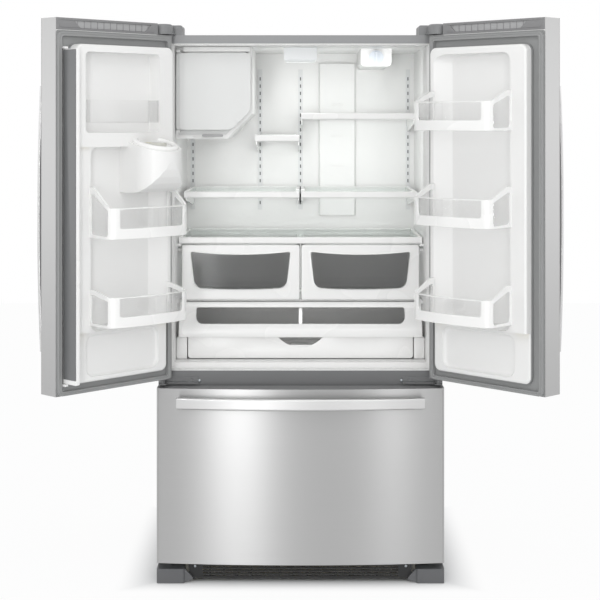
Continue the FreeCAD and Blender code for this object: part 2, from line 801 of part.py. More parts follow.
def serpentine(half, middle_x, y, low, rows, pitch, tube):
    """A tube that runs to and fro between two sides, joined by half-round bends."""
    half, middle_x, y, low, pitch, tube = map(float, (half, middle_x, y, low, pitch, tube))
    edges = []
    for row in range(rows):
        level = low + row * pitch
        side = 1 if row % 2 == 0 else -1
        start = Vector(middle_x - side * half, y, level)
        end = Vector(middle_x + side * half, y, level)
        edges.append(Part.LineSegment(start, end).toShape())
        if row < rows - 1:
            bend = Vector(middle_x + side * (half + pitch / 2), y, level + pitch / 2)
            edges.append(Part.Arc(end, bend, end + Vector(0, 0, pitch)).toShape())
    path = Part.Wire(edges)
    first = path.Vertexes[0].Point
    ring = Part.Wire(Part.makeCircle(tube, first, Vector(1, 0, 0)))
    return path.makePipeShell([ring], True, True)


def condenser():
    """Serpentine condenser between two side plates, with the fan's shroud and motor."""
    half = S.condenser_half
    middle = S.fan_x - S.condenser_offset
    rows = 9
    pitch = S.condenser_height / rows
    low = DECK_TOP + 32
    coils = [computed(serpentine(half - 12, middle, MACHINE_MIDDLE + step, low, rows, pitch,
                                 S.coil_tube)) for step in (-S.coil_step, 0, S.coil_step)]
    depth = about(MACHINE_MIDDLE, S.condenser_deep)
    plates = [box(about(middle + side * (half - 16), 2), depth,
                  (DECK_TOP, low + S.condenser_height)) for side in (-1, 1)]
    shroud = cut(box(about(S.fan_x - 22, 3), about(MACHINE_MIDDLE, S.fan_radius * 2 + 24),
                     (DECK_TOP, FAN_Z + S.fan_radius + 12)),
                 rod("x", (S.fan_x - 30, MACHINE_MIDDLE, FAN_Z), S.fan_radius + 4, 20))
    motor = cut(rod("x", (S.fan_x + 12, MACHINE_MIDDLE, FAN_Z), 20, 36),
                rod("x", (S.fan_x + 12 - THROUGH, MACHINE_MIDDLE, FAN_Z),
                    S.fan_shaft + S.running_gap, 20))
    post = box(span(S.fan_x + 20, 20), about(MACHINE_MIDDLE, 16), (DECK_TOP, FAN_Z - 15))
    return node("condenser", group(fuse(*coils, *plates), shroud, fuse(motor, post)))


def fan_wheel(radius, hub, shaft, reach, blades=5):
    """Hub, shaft and pitched blades about the Z axis; the shaft reaches past the hub."""
    radius, hub, shaft, reach = map(float, (radius, hub, shaft, reach))
    width = 14
    wheel = Part.makeCylinder(hub, width, Vector(0, 0, -width / 2))
    wheel = wheel.fuse(Part.makeCylinder(shaft, reach, Vector(0, 0, 0)))
    for index in range(blades):
        blade = Part.makeBox(radius - hub + 2, radius * 0.75, 1.6,
                             Vector(hub - 2, -radius * 0.375, -0.8))
        blade = blade.common(Part.makeCylinder(radius, 4, Vector(0, 0, -2)))
        blade.rotate(Vector(), Vector(1, 0, 0), 22)
        blade.rotate(Vector(), Vector(0, 0, 1), index * 360 / blades)
        wheel = wheel.fuse(blade)
    return wheel.removeSplitter()


def condenser_fan():
    """The condenser's fan wheel on its motor shaft."""
    wheel = computed(fan_wheel(S.fan_radius, S.fan_hub, S.fan_shaft, 28))
    wheel.Placement = Placement(Vector(float(S.fan_x), float(MACHINE_MIDDLE), float(FAN_Z)),
                                TURNS["x"])
    return node("condenser_fan", wheel)


EVAPORATOR_FAN_RADIUS = 42
EVAPORATOR_FAN_Z = FREEZER_TOP - EVAPORATOR_FAN_RADIUS - 12
DUCT_X = (66, 196)
DUCT_Z = (S.ladder_low - 20, FRIDGE_TOP - 36)
DUCT_THICK = 14


def duct_covers():
    """Evaporator cover with its fan motor, and the fresh-food compartment's air duct."""
    sheet = S.plastic
    outer = box(both(FREEZER_HALF - S.face_gap), (COVER_FRONT, FREEZER_BACK - S.face_gap),
                (STEP_TOP + S.face_gap, FREEZER_TOP - S.face_gap))
    inner = box(both(FREEZER_HALF - S.face_gap - sheet), (COVER_FRONT + sheet, FREEZER_BACK),
                (STEP_TOP + S.face_gap + sheet, FREEZER_TOP - S.face_gap - sheet))
    grille = rod("y", (0, COVER_FRONT - THROUGH, EVAPORATOR_FAN_Z), EVAPORATOR_FAN_RADIUS + 3, 8)
    intake = [box(about(middle, 40), (COVER_FRONT - THROUGH, COVER_FRONT + sheet + THROUGH),
                  span(STEP_TOP + 12, 10)) for middle in range(-300, 301, 60)]
    motor = cut(rod("y", (0, COVER_FRONT + 20, EVAPORATOR_FAN_Z), 16, 24 - S.face_gap),
                rod("y", (0, COVER_FRONT + 20 - THROUGH, EVAPORATOR_FAN_Z),
                    S.fan_shaft + S.running_gap, 16))
    duct = box(DUCT_X, (FRIDGE_BACK - DUCT_THICK, FRIDGE_BACK), DUCT_Z)
    duct = rounded(duct, 6, edges_along(Vector(0, 0, 1), lambda p: p.y < float(FRIDGE_BACK) - 8))
    vents = [box((DUCT_X[0] + 45, DUCT_X[1] - 45),
                 (FRIDGE_BACK - DUCT_THICK - THROUGH, FRIDGE_BACK - DUCT_THICK + 5),
                 span(DUCT_Z[0] + step, 8)) for step in range(60, 500, 110)]
    return node("duct_covers", group(cut(outer, inner, grille, *intake), motor, cut(duct, *vents)))


def evaporator_fan():
    """The freezer's fan wheel, behind the evaporator cover."""
    wheel = computed(fan_wheel(EVAPORATOR_FAN_RADIUS - 2, 12, S.fan_shaft, 22))
    wheel.Placement = Placement(Vector(0, float(COVER_FRONT) + 11.5, float(EVAPORATOR_FAN_Z)),
                                TURNS["y"])
    return node("evaporator_fan", wheel)


def evaporator_coil():
    """Finned serpentine evaporator that hangs on the freezer's back wall."""
    rows = 6
    pitch = 22
    half = 250
    low = STEP_TOP + 34
    tube = computed(serpentine(half, 0, FREEZER_BACK - 18, low, rows, pitch, S.coil_tube))
    fins = [box(about(middle, 1.2), (FREEZER_BACK - 30, FREEZER_BACK - S.face_gap),
                (low - 10, low + pitch * (rows - 1) + 10)) for middle in range(-240, 241, 24)]
    return node("evaporator_coil", fuse(tube, *fins))


def water_valve():
    """Inlet valve on the machine deck, with its fitting out through the cover."""
    body = box(about(-VALVE_X, 46), (BACK - 60, BACK - 14), (DECK_TOP, DECK_TOP + 46))
    coil = rod("z", (-VALVE_X, BACK - 40, DECK_TOP + 46), 14, 26)
    neck = rod("y", (-VALVE_X, BACK - 16, VALVE_Z), INLET_RADIUS, 16 + INLET_REACH)
    return node("water_valve", fuse(body, coil, neck))


# ---------------------------------------------------------------- fresh-food interior
LEFT_SPLIT = ICE_RIGHT + S.ice_side_gap
LADDERS = (-SHELF_HALF, LEFT_SPLIT + 6, 0, SHELF_HALF)


def shelf_tracks():
    """Slotted steel ladders on the back wall that the cantilever shelves hook into."""
    tracks = []
    pitch = 26
    count = int(float(LADDER_TOP - S.ladder_low) / pitch) - 1
    for middle in LADDERS:
        strip = box(about(middle, S.ladder_width), (FRIDGE_BACK - S.ladder_thick, FRIDGE_BACK),
                    (S.ladder_low, LADDER_TOP))
        slots = [box(about(middle, 4),
                     (FRIDGE_BACK - S.ladder_thick - THROUGH, FRIDGE_BACK + THROUGH),
                     span(S.ladder_low + pitch * (step + 0.7), 12)) for step in range(count)]
        tracks.append(cut(strip, *slots))
    return node("shelf_tracks", group(*tracks))


SHELF_FRONT = deep(S.interior_front)
SHELF_BACK = FRIDGE_BACK - S.shelf_back_gap
RIM = 12
SHELVES = (
    (S.shelf_split / 2, SHELF_HALF, S.upper_shelf_top),
    (LEFT_SPLIT, -S.shelf_split, S.small_shelf_top),
    (-SHELF_HALF, -S.shelf_split, S.middle_shelf_top),
    (S.shelf_split / 2, SHELF_HALF, S.middle_shelf_top),
)


def rim_frame(x, y, top, thick):
    """A moulded rim round a shelf pane."""
    outer = box(x, y, (top - thick, top))
    outer = rounded(outer, 5, edges_along(Vector(1, 0, 0), lambda p: p.y < float(y[0]) + 1))
    return cut(outer, box((x[0] + RIM, x[1] - RIM), (y[0] + RIM, y[1] - RIM),
                          (top - thick - THROUGH, top + THROUGH)))


def shelf_frames():
    """White shelf rims on their two steel arms, and the covers of the crispers and pantry."""
    frames = []
    hook = FRIDGE_BACK - S.ladder_thick - S.face_gap
    for low, high, top in SHELVES:
        rim = rim_frame((low, high), (SHELF_FRONT, SHELF_BACK), top, S.shelf_thick)
        under = float(top - S.shelf_thick)
        arms = []
        for start in (float(low) + 1, float(high) - 4):
            side = [(float(hook), under + 2), (float(hook), under - 40),
                    (float(hook) - 60, under - 40), (float(SHELF_FRONT) + 70, under - 10),
                    (float(SHELF_FRONT) + 60, under + 2)]
            arms.append(computed(polygon_prism(side, "yz", start, start + 3)))
        frames.append(fuse(rim, *arms))
    cover = rim_frame(both(COVER_HALF), (SHELF_FRONT, SHELF_BACK), S.crisper_cover_top,
                      S.shelf_thick)
    under = S.crisper_cover_top - S.shelf_thick
    hanger = [box(both(2), (SHELF_FRONT + RUNNER_START, SHELF_BACK), (RUNNER_TOP - 3, under)),
              box(both(11), (SHELF_FRONT + RUNNER_START, SHELF_BACK), (RUNNER_TOP - 3, RUNNER_TOP)),
              box(both(11), (SHELF_FRONT + RUNNER_START, SHELF_BACK), (under, under + 3))]
    pantry = box(both(COVER_HALF), (SHELF_FRONT + RUNNER_START, SHELF_BACK),
                 (S.pantry_cover_top - PANTRY_COVER, S.pantry_cover_top))
    return node("shelf_frames", group(*frames, fuse(cover, *hanger), pantry))


def shelf_glass():
    """Tempered glass panes held in the shelf rims and in the crisper cover."""
    panes = list(SHELVES) + [(-COVER_HALF, COVER_HALF, S.crisper_cover_top)]
    return node("shelf_glass", group(*[
        box((low + RIM, high - RIM), (SHELF_FRONT + RIM, SHELF_BACK - RIM),
            (top - 3 - S.glass_thick, top - 3)) for low, high, top in panes]))


RUNNER_TOP = CRISPER_RIM - RIM_FLANGE - S.face_gap


def front_window(x, z, y, slope):
    """A window whose sides lean in towards the bottom, with rounded corners."""
    (x0, x1), (z0, z1) = [tuple(map(float, pair)) for pair in (x, z)]
    prism = polygon_prism([(x0 + slope, z0), (x1 - slope, z0), (x1, z1), (x0, z1)], "xz",
                          float(y[0]), float(y[1]))
    corners = [edge for edge in prism.Edges
               if edge.BoundBox.XLength < 0.01 and edge.BoundBox.ZLength < 0.01]
    return computed(prism.makeFillet(16, corners))


def crisper(side):
    """A crisper: windowed front, deep tub, and rim flanges that run on the ledges."""
    inner, outer = side * 3, side * CRISPER_HALF
    x = (outer, inner) if side < 0 else (inner, outer)
    front_y = (SHELF_FRONT, SHELF_FRONT + RIM)
    front = rounded(box(x, front_y, (S.crisper_low, S.crisper_top)), 7,
                    lambda edge: edge.BoundBox.YLength < 0.01
                    and edge.BoundBox.YMin < float(SHELF_FRONT) + 0.01)
    window = front_window((x[0] + 30, x[1] - 30), (S.crisper_low + 40, S.crisper_top - 22),
                          (SHELF_FRONT - THROUGH, SHELF_FRONT + RIM - S.crisper_wall), 14)
    wall = S.crisper_wall
    tub_x = (x[0] + 9, x[1] - 9)
    tub_y = (SHELF_FRONT + RIM, FRIDGE_BACK - S.crisper_back_gap)
    rim_top = CRISPER_RIM
    tub = cut(box(tub_x, (tub_y[0] - 1, tub_y[1]), (S.crisper_low, rim_top)),
              box((tub_x[0] + wall, tub_x[1] - wall), (tub_y[0], tub_y[1] - wall),
                  (S.crisper_low + wall, rim_top + THROUGH)))
    flanges = [box((x[0] + 1, tub_x[0] + 1), (tub_y[0] + 3, tub_y[1]), (rim_top - RIM_FLANGE, rim_top)),
               box((tub_x[1] - 1, x[1] - 1), (tub_y[0] + 3, tub_y[1]), (rim_top - RIM_FLANGE, rim_top))]
    name = "left_crisper" if side < 0 else "right_crisper"
    return node(name, fuse(cut(front, window), tub, *flanges))


def half_moon(chord, drop, middle_z, y):
    """A cylinder whose lower arc makes a half-moon notch below a level."""
    radius = (chord ** 2 + drop ** 2) / (2 * drop)
    return rod("y", (0, y[0], middle_z - drop + radius), radius, float(y[1] - y[0]))


PANTRY_SHELL = 4.5
PANTRY_PANE = 1.5


def pantry_bow():
    """Points of depth and height down the pantry front's outer face."""
    lip, top = float(S.pantry_lip), float(S.pantry_top)
    near, far = float(deep(S.pantry_front)), float(SHELF_FRONT)
    height = top - lip
    return [(far - 8, top), (far - 12, top - height * 0.2), (near + 10, top - height * 0.66),
            (near, lip + 10)]


def pantry_sheet(near, far):
    """The pantry front's bowed sheet between two depths inside its outer face."""
    outer = [Vector(-float(PANTRY_HALF), y + near, z) for y, z in pantry_bow()]
    inner = [Vector(-float(PANTRY_HALF), y + far, z) for y, z in reversed(pantry_bow())]
    curves = []
    for line in (outer, inner):
        curve = Part.BSplineCurve()
        curve.interpolate(line)
        curves.append(curve)
    pieces = [curves[0], Part.LineSegment(outer[-1], inner[0]), curves[1],
              Part.LineSegment(inner[-1], outer[0])]
    section = Part.Face(Part.Wire([piece.toShape() for piece in pieces]))
    return computed(section.extrude(Vector(2 * float(PANTRY_HALF), 0, 0)))


def pantry_drawer():
    """Full-width pantry drawer: bowed window front over a recessed pan with a half-moon grip."""
    lip, top = float(S.pantry_lip), float(S.pantry_top)
    near, far = float(deep(S.pantry_front)), float(SHELF_FRONT)
    window = front_window(both(PANTRY_HALF - 54), (lip + 41, top - 17), (near - 5, far), 4)
    pane = pantry_sheet(PANTRY_SHELL - PANTRY_PANE, PANTRY_SHELL)
    foot = computed(polygon_prism([(near, lip + 10), (near + 6, lip), (near + 26, lip),
                                   (near + 26, lip + 8), (near + PANTRY_SHELL, lip + 10)], "yz",
                                  -float(PANTRY_HALF), float(PANTRY_HALF)))
    wall = S.crisper_wall
    pan_y = (deep(S.pan_front), FRIDGE_BACK - S.pan_back_gap)
    rim = PAN_RIM
    pan = cut(box(both(PAN_HALF), pan_y, (S.pan_low, rim)),
              box(both(PAN_HALF - wall), (pan_y[0] + wall, pan_y[1] - wall),
                  (S.pan_low + wall, rim + THROUGH)),
              half_moon(72.6, 33, lip - 2, (pan_y[0] - THROUGH, pan_y[0] + wall + THROUGH)))
    flanges = [box((PAN_HALF - 1, PAN_HALF + 26) if side > 0 else (-PAN_HALF - 26, 1 - PAN_HALF),
                   (deep(S.pan_front) + 30, pan_y[1]), (rim - RIM_FLANGE, rim)) for side in (-1, 1)]
    bow = pantry_bow()
    side_wall = [(float(pan_y[0]) + 1, float(rim) - 4), (far + 40, float(rim) - 4),
                 (far + 6, bow[1][1]), (bow[1][0] + PANTRY_SHELL - 1, bow[1][1]),
                 (bow[2][0] + PANTRY_SHELL, bow[2][1]), (float(pan_y[0]) + 1, lip + 9)]
    cheeks = [computed(polygon_prism(side_wall, "yz", start, start + 4))
              for start in (-float(PAN_HALF), float(PAN_HALF) - 4)]
    return node("pantry_drawer", fuse(cut(pantry_sheet(0, PANTRY_SHELL), window), pane, foot, pan,
                                      *flanges, *cheeks))


def ceiling_light():
    """Lens of the ceiling light."""
    lens = box(both(S.light_half), span(deep(S.light_depth), 120), (FRIDGE_TOP - S.light_drop, FRIDGE_TOP))
    return node("ceiling_light", rounded(lens, 12, lambda edge: edge.BoundBox.ZMax < float(FRIDGE_TOP) - 1))


FILTER_Z = FRIDGE_TOP - S.filter_housing_drop / 2


def filter_housing():
    """Rounded housing on the ceiling that the water filter pushes into."""
    y = (deep(S.filter_depth), FRIDGE_BACK - S.face_gap)
    block = box(about(S.filter_x, S.filter_housing_half * 2), y,
                (FRIDGE_TOP - S.filter_housing_drop, FRIDGE_TOP))
    block = rounded(block, 14, edges_along(Vector(0, 1, 0), lambda p: p.z < float(FRIDGE_TOP) - 10))
    bore = rod("y", (S.filter_x, y[0] - THROUGH, FILTER_Z), S.filter_radius + S.running_gap,
               S.filter_length + THROUGH)
    return node("filter_housing", cut(block, bore))


def water_filter():
    """Filter cartridge with a turning tab on its front."""
    start = deep(S.filter_depth) - 8
    shell = rod("y", (S.filter_x, start, FILTER_Z), S.filter_radius, S.filter_length)
    tab = box(about(S.filter_x, 8), (start - 12, start + 1), about(FILTER_Z, S.filter_radius * 1.6))
    return node("water_filter", fuse(shell, tab))


def ice_outline(inset, right=0.0, low=0.0, high=0.0, chamfer=float(S.ice_chamfer)):
    """The ice compartment's cross-section, moved inwards by an inset."""
    left = -float(FRIDGE_HALF) + float(S.face_gap) + inset
    right_x = float(ICE_RIGHT) - inset - right
    floor = float(ICE_LOW) + inset + low
    ceiling = float(FRIDGE_TOP) - float(S.face_gap) - inset - high
    corner = chamfer - inset * (2 - math.sqrt(2))
    return [(left, floor), (right_x - corner, floor), (right_x, floor + corner),
            (right_x, ceiling), (left, ceiling)]


ICE_BOX_FRONT = deep(S.ice_front) + S.ice_door_thick + 0.5
ICE_BACK = ICE_BOX_FRONT + S.ice_depth
CHUTE_X = -HALF + S.chute_u


def ice_box():
    """Insulated ice compartment in the upper left corner, with an outlet over the door's chute."""
    wall = float(S.ice_wall)
    front, back = float(ICE_BOX_FRONT), float(ICE_BACK)
    body = computed(polygon_prism(ice_outline(0), "xz", front, back))
    room = computed(polygon_prism(ice_outline(wall), "xz", front - 1, back - wall))
    outlet = rod("z", (CHUTE_X, ICE_BOX_FRONT + 44, ICE_LOW - THROUGH), 26, wall + 4)
    grip = box((58 - FRIDGE_HALF, 125 - FRIDGE_HALF), (ICE_BOX_FRONT - THROUGH, ICE_BOX_FRONT + 7),
               (ICE_LOW + 3, ICE_LOW + 10))
    lug_z = [(ICE_DOOR_LOW - 9, ICE_DOOR_LOW - 1), (ICE_DOOR_TOP + 1, ICE_DOOR_TOP + 9)]
    lugs = [cut(box(about(ICE_PIN_X, 12), (ICE_PIN_Y - 6, ICE_BOX_FRONT + 2), z),
                rod("z", (ICE_PIN_X, ICE_PIN_Y, z[0] - THROUGH), S.ice_pin_radius + S.running_gap, 12))
            for z in lug_z]
    return node("ice_box", fuse(cut(body, room, outlet, grip), *lugs))


ICE_PIN_X = S.face_gap + S.ice_door_gap + S.ice_pin_inset - FRIDGE_HALF
ICE_PIN_Y = deep(S.ice_front) + S.ice_pin_inset


def ice_door():
    """Insulated front door of the ice compartment, hinged on its left edge."""
    low = float(ICE_DOOR_LOW - ICE_LOW)
    high = float(FRIDGE_TOP - S.face_gap - ICE_DOOR_TOP)
    gap = float(S.ice_door_gap)
    outline = ice_outline(gap, right=8, low=low - gap, high=high - gap, chamfer=float(S.ice_chamfer) - 12)
    front, back = float(deep(S.ice_front)), float(ICE_BOX_FRONT) - 0.5
    slab = polygon_prism(outline, "xz", front, back)
    upright = [edge for edge in slab.Edges if edge.BoundBox.XLength < 0.01 and edge.BoundBox.ZLength < 0.01]
    slab = slab.makeFillet(9, upright)
    left = outline[0][0]
    heel = [edge for edge in slab.Edges if edge.BoundBox.YMin > back - 0.01
            and edge.BoundBox.XMax < left + 0.01]
    slab = slab.makeFillet(float(S.ice_pin_inset) - 0.5, heel)
    rim = [edge for edge in slab.Edges if edge.BoundBox.YMax < front + 0.01]
    slab = slab.makeFillet(6, rim)
    pin = rod("z", (ICE_PIN_X, ICE_PIN_Y, ICE_DOOR_LOW - 8), S.ice_pin_radius,
              ICE_DOOR_TOP - ICE_DOOR_LOW + 16)
    latch = box(about(ICE_RIGHT - 46, 14), (deep(S.ice_front) - 3, deep(S.ice_front) + 4),
                about(ICE_LOW + 62, 14))
    return node("ice_door", fuse(computed(slab), pin, latch))


# Ice maker: the tray's length and place behind the compartment's front, and its row of cells.
TRAY_LONG = 180
TRAY_SETBACK = 130
TRAY_TOP_DROP, TRAY_LOW_DROP = 18, 62
CELLS, CELL_PITCH, CELL_WIDE, CELL_MARGIN = 7, 27, 22, 12
HANGER_THICK = 8
BIN_TOP_DROP = 120


def ice_maker():
    """Ice maker under the compartment's ceiling, with its storage bin on the floor."""
    wall = float(S.ice_wall)
    gap = float(S.face_gap)
    front, back = float(ICE_BOX_FRONT) + 3, float(ICE_BACK) - wall - 40
    outer = computed(polygon_prism(ice_outline(wall + gap, high=BIN_TOP_DROP), "xz", front, back))
    room = computed(polygon_prism(ice_outline(wall + gap + 3, high=BIN_TOP_DROP - 10), "xz",
                                   front + 3, back - 3))
    outlet = rod("z", (CHUTE_X, ICE_BOX_FRONT + 44, ICE_LOW), 26, wall + 8)
    high = float(FRIDGE_TOP - S.face_gap) - wall
    x0, x1 = -float(FRIDGE_HALF) + wall + 12, float(ICE_RIGHT) - wall - 12
    y0 = float(ICE_BOX_FRONT) + TRAY_SETBACK
    y1 = y0 + TRAY_LONG
    starts = [x0 + 8 + step * CELL_PITCH for step in range(CELLS)]
    cells = [box((start, start + CELL_WIDE), (y0 + CELL_MARGIN, y1 - CELL_MARGIN), (high - 54, high - 10))
             for start in starts]
    tray = cut(box((x0, x1), (y0, y1), (high - TRAY_LOW_DROP, high - TRAY_TOP_DROP)), *cells)
    head = box((x0, x1), (y0 - 34, y0 + 1), (high - 84, high - gap))
    hanger = box((x0 + 20, x1 - 20), (y1 - HANGER_THICK, y1), (high - 20, high - gap))
    return node("ice_maker", group(cut(outer, room, outlet), fuse(tray, head, hanger)))


# ---------------------------------------------------------------- doors
DOOR_SKIN = 1.0
BULGE_RADIUS = (HALF * HALF + S.door_bulge * S.door_bulge) / (S.door_bulge * 2)
BULGE_X = HALF - S.pin_inset
BULGE_Y = BULGE_RADIUS - S.door_bulge - S.pin_depth
CAP_WALL = 9
LINER_FRONT = S.door_back - S.plastic


class Door:
    """Shapes of one door in its own frame: the origin lies on the hinge pin's line.

    u runs from the hinge edge to the free edge and d is the depth behind the front edge plane.
    """

    def __init__(self, name, way):
        self.name = name
        self.way = way

    def across(self, u):
        return (u - S.pin_inset) * self.way

    def block(self, u, d, z):
        ends = [self.across(u[0]), self.across(u[1])]
        x = ends if self.way > 0 else ends[::-1]
        return box(x, (d[0] - S.pin_depth, d[1] - S.pin_depth), z)

    def pole(self, u, d, z, radius):
        return rod("z", (self.across(u), d - S.pin_depth, z[0]), radius, z[1] - z[0])

    def prism(self, corners, z):
        """An upright prism on an outline of (u, d) corners."""
        points = [(float(self.across(u)), float(d) - float(S.pin_depth)) for u, d in corners]
        return computed(polygon_prism(points, "xy", float(z[0]), float(z[1])))

    def profile(self, corners, u):
        """A prism across the door on an outline of (depth, height) corners."""
        points = [(float(d) - float(S.pin_depth), float(z)) for d, z in corners]
        ends = sorted(float(self.across(place)) for place in u)
        return computed(polygon_prism(points, "yz", *ends))

    def slab(self, inset, back, z, corner):
        """The door's plan with its bowed front, moved inwards by an inset."""
        bow = rod("z", (BULGE_X * self.way, BULGE_Y, z[0] - THROUGH), BULGE_RADIUS - inset,
                  z[1] - z[0] + 2 * THROUGH)
        body = self.block((inset, DOOR_WIDE - inset), (-S.door_bulge - 4, back), z)
        plan = add("Part::Common", Base=body, Tool=bow)
        front = edges_along(Vector(0, 0, 1), lambda p: p.y < float(10 - S.pin_depth))
        return rounded(plan, corner, front)

    def hang(self, label, item):
        """Name a sub-part of the door and place it at the door's rest angle."""
        bind(item, "Placement.Base.x", -BULGE_X * self.way)
        bind(item, "Placement.Base.y", deep(S.pin_depth))
        bind(item, "Placement.Rotation.Angle", -S.door_open_angle * self.way)
        return node(label, item)


SOCKET_TOP = DOOR_TOP - S.corner_drop
SOCKET_LOW = SOCKET_TOP - 26
CAP_LOW = DOOR_TOP - S.cap_height
CAP_HIGH = DOOR_LOW + S.bottom_cap_height
RIB_COUNT = 14


def door_notch(door, clearance=0):
    """The room at the top hinge corner for the hinge cover."""
    return door.block((-S.door_bulge, S.corner_length - clearance),
                      (-S.door_bulge * 2, S.door_back * 2), (SOCKET_TOP - clearance, DOOR_TOP + 4))


def door_skin(door, hole=None):
    """Bowed stainless wrapper with its two edge returns."""
    outer = door.slab(0, S.door_back, (DOOR_LOW, DOOR_TOP), 8)
    inner = door.slab(DOOR_SKIN, S.door_back + THROUGH, (DOOR_LOW - THROUGH, DOOR_TOP + THROUGH), 7)
    tools = [inner, door_notch(door)] + ([hole] if hole else [])
    return door.hang(door.name + "_skin", cut(outer, *tools))


def cap_shapes(door):
    """Moulded top and bottom caps with the hinge pin sockets."""
    hollow = CAP_WALL + DOOR_SKIN
    top = door.slab(DOOR_SKIN, S.door_back, (CAP_LOW, DOOR_TOP), 7)
    room = door.slab(hollow, S.door_back - CAP_WALL, (CAP_LOW - THROUGH, DOOR_TOP - 4), 3)
    floor = door.slab(DOOR_SKIN, S.door_back, (SOCKET_LOW, SOCKET_TOP), 7)
    keep = door.block((0, S.corner_length + 3), (-S.door_bulge * 2, S.door_back * 2),
                      (SOCKET_LOW - THROUGH, SOCKET_TOP + THROUGH))
    corner = add("Part::Common", Base=floor, Tool=keep)
    side = door.slab(DOOR_SKIN, S.door_back, (SOCKET_TOP - 1, DOOR_TOP), 7)
    strip = add("Part::Common", Base=side,
                Tool=door.block((S.corner_length, S.corner_length + 4),
                                (-S.door_bulge * 2, S.door_back * 2), (SOCKET_LOW, DOOR_TOP)))
    bore = S.pin_radius + S.running_gap
    upper_bore = door.pole(S.pin_inset, S.pin_depth,
                           (CABINET_TOP - S.pin_reach - 5, SOCKET_TOP + THROUGH), bore)
    near, far = S.corner_length + 13, DOOR_WIDE - 12.5
    trench = door.prism([(near, S.door_back + 1), (far, S.door_back + 1), (far - 7, S.door_back - 5),
                         (near + 12, S.door_back - 5)], (CAP_LOW + 7, DOOR_TOP - 7))
    pitch = (far - near - 20) / RIB_COUNT
    ribs = [door.block(about(near + 12 + pitch * (step + 0.5), 1.6),
                       (S.door_back - 6, S.door_back - 2.5), (CAP_LOW + 6, DOOR_TOP - 6))
            for step in range(RIB_COUNT)]
    block = cut(fuse(cut(top, room), corner, strip), door_notch(door), upper_bore, trench)
    upper = fuse(block, *ribs)
    low = door.slab(DOOR_SKIN, S.door_back, (DOOR_LOW, CAP_HIGH), 7)
    low_bore = door.pole(S.pin_inset, S.pin_depth,
                         (DOOR_LOW - THROUGH, DOOR_LOW + S.pin_reach + 1), bore)
    return upper, cut(low, low_bore), room


def valley(door, u, z, slope, wall, corner, bend=10):
    """The hollow between the raised walls of a liner; its hinge side leans by a slope."""
    hinge, free = u
    mouth = S.dyke_top_crest + 20
    rise = float(mouth - S.valley_floor)
    lean = slope * rise / float(S.dyke_crest - S.valley_floor)
    corners = [(hinge + slope - wall, S.valley_floor - wall), (free + wall, S.valley_floor - wall),
               (free + wall, mouth), (hinge + slope - lean - wall, mouth)]
    prism = door.prism(corners, (z[0] - wall, z[1] + wall))
    if wall:
        return prism
    floor = float(S.valley_floor - S.pin_depth)
    prism = rounded(prism, corner, lambda edge: edge.BoundBox.YLength > rise - 1)
    return rounded(prism, bend, lambda edge: edge.BoundBox.YMax < floor + 0.01)


def raised(door, z, crest, wall, reach=0):
    """One block of the liner's raised wall."""
    u = (S.dyke_hinge_inset + wall, DOOR_WIDE - S.dyke_free_inset - wall)
    return door.block(u, (LINER_FRONT, crest - wall), (z[0] + wall, z[1] - wall + reach))


DYKE_LOW = DOOR_LOW + S.dyke_bottom_inset
DYKE_TOP = DOOR_TOP - S.dyke_top_inset
VALLEY_SPLIT = DOOR_LOW + S.valley_split_lift
RING_Z = ICE_LOW - S.chute_ring_drop
LEDGE_LOW = RING_Z - S.ledge_drop
LEDGE_TOP = RING_Z + S.ledge_rise
VALLEY_LOW = DOOR_LOW + S.valley_low_lift
ALCOVE_TOP = DOOR_TOP - S.alcove_top_drop
VALLEY_FREE = DOOR_WIDE - S.valley_free_inset
ALCOVE_FREE = DOOR_WIDE - S.alcove_free_inset
BIN_FREE = DOOR_WIDE - S.bin_free_inset


def dyke(door, wall):
    """The raised form of a door liner, moved inwards by a wall."""
    zones = [(DYKE_LOW, VALLEY_SPLIT, S.dyke_low_crest), (VALLEY_SPLIT, DYKE_TOP, S.dyke_crest)]
    corner = S.valley_corner
    hollows = [((S.valley_hinge, VALLEY_FREE), (VALLEY_LOW, VALLEY_SPLIT - 12), 12, corner)]
    if door.way > 0:
        zones = [zones[0], (VALLEY_SPLIT, LEDGE_LOW, S.dyke_crest),
                 (LEDGE_LOW, DYKE_TOP, S.dyke_top_crest)]
        hollows += [((S.bin_hinge, VALLEY_FREE), (VALLEY_SPLIT, LEDGE_LOW), 52, corner),
                    ((S.alcove_hinge, ALCOVE_FREE), (LEDGE_TOP, ALCOVE_TOP), 4, S.alcove_corner, 3)]
    else:
        hollows += [((S.bin_hinge, VALLEY_FREE), (VALLEY_SPLIT, ALCOVE_TOP), 52, corner)]
    blocks = []
    for index, (low, high, crest) in enumerate(zones):
        last = index == len(zones) - 1
        start = low if index == 0 else low - wall - 0.5
        blocks.append(raised(door, (start, high), crest, wall, 0 if last else 0.25))
    form = fuse(*blocks)
    ends = (float(DYKE_LOW + wall) + 0.01, float(DYKE_TOP - wall) - 0.01)
    form = rounded(form, S.dyke_corner - wall,
                   edges_along(Vector(0, 1, 0), lambda p: p.z < ends[0] or p.z > ends[1]))
    if not wall:
        base = float(S.dyke_low_crest - S.pin_depth) - 4
        form = rounded(form, 7, edges_along(Vector(0, 0, 1), lambda p: p.y > base))
    return cut(form, *[valley(door, u, z, slope, wall, *bends) for u, z, slope, *bends in hollows])


CHUTE_LOW = RING_Z - S.chute_height


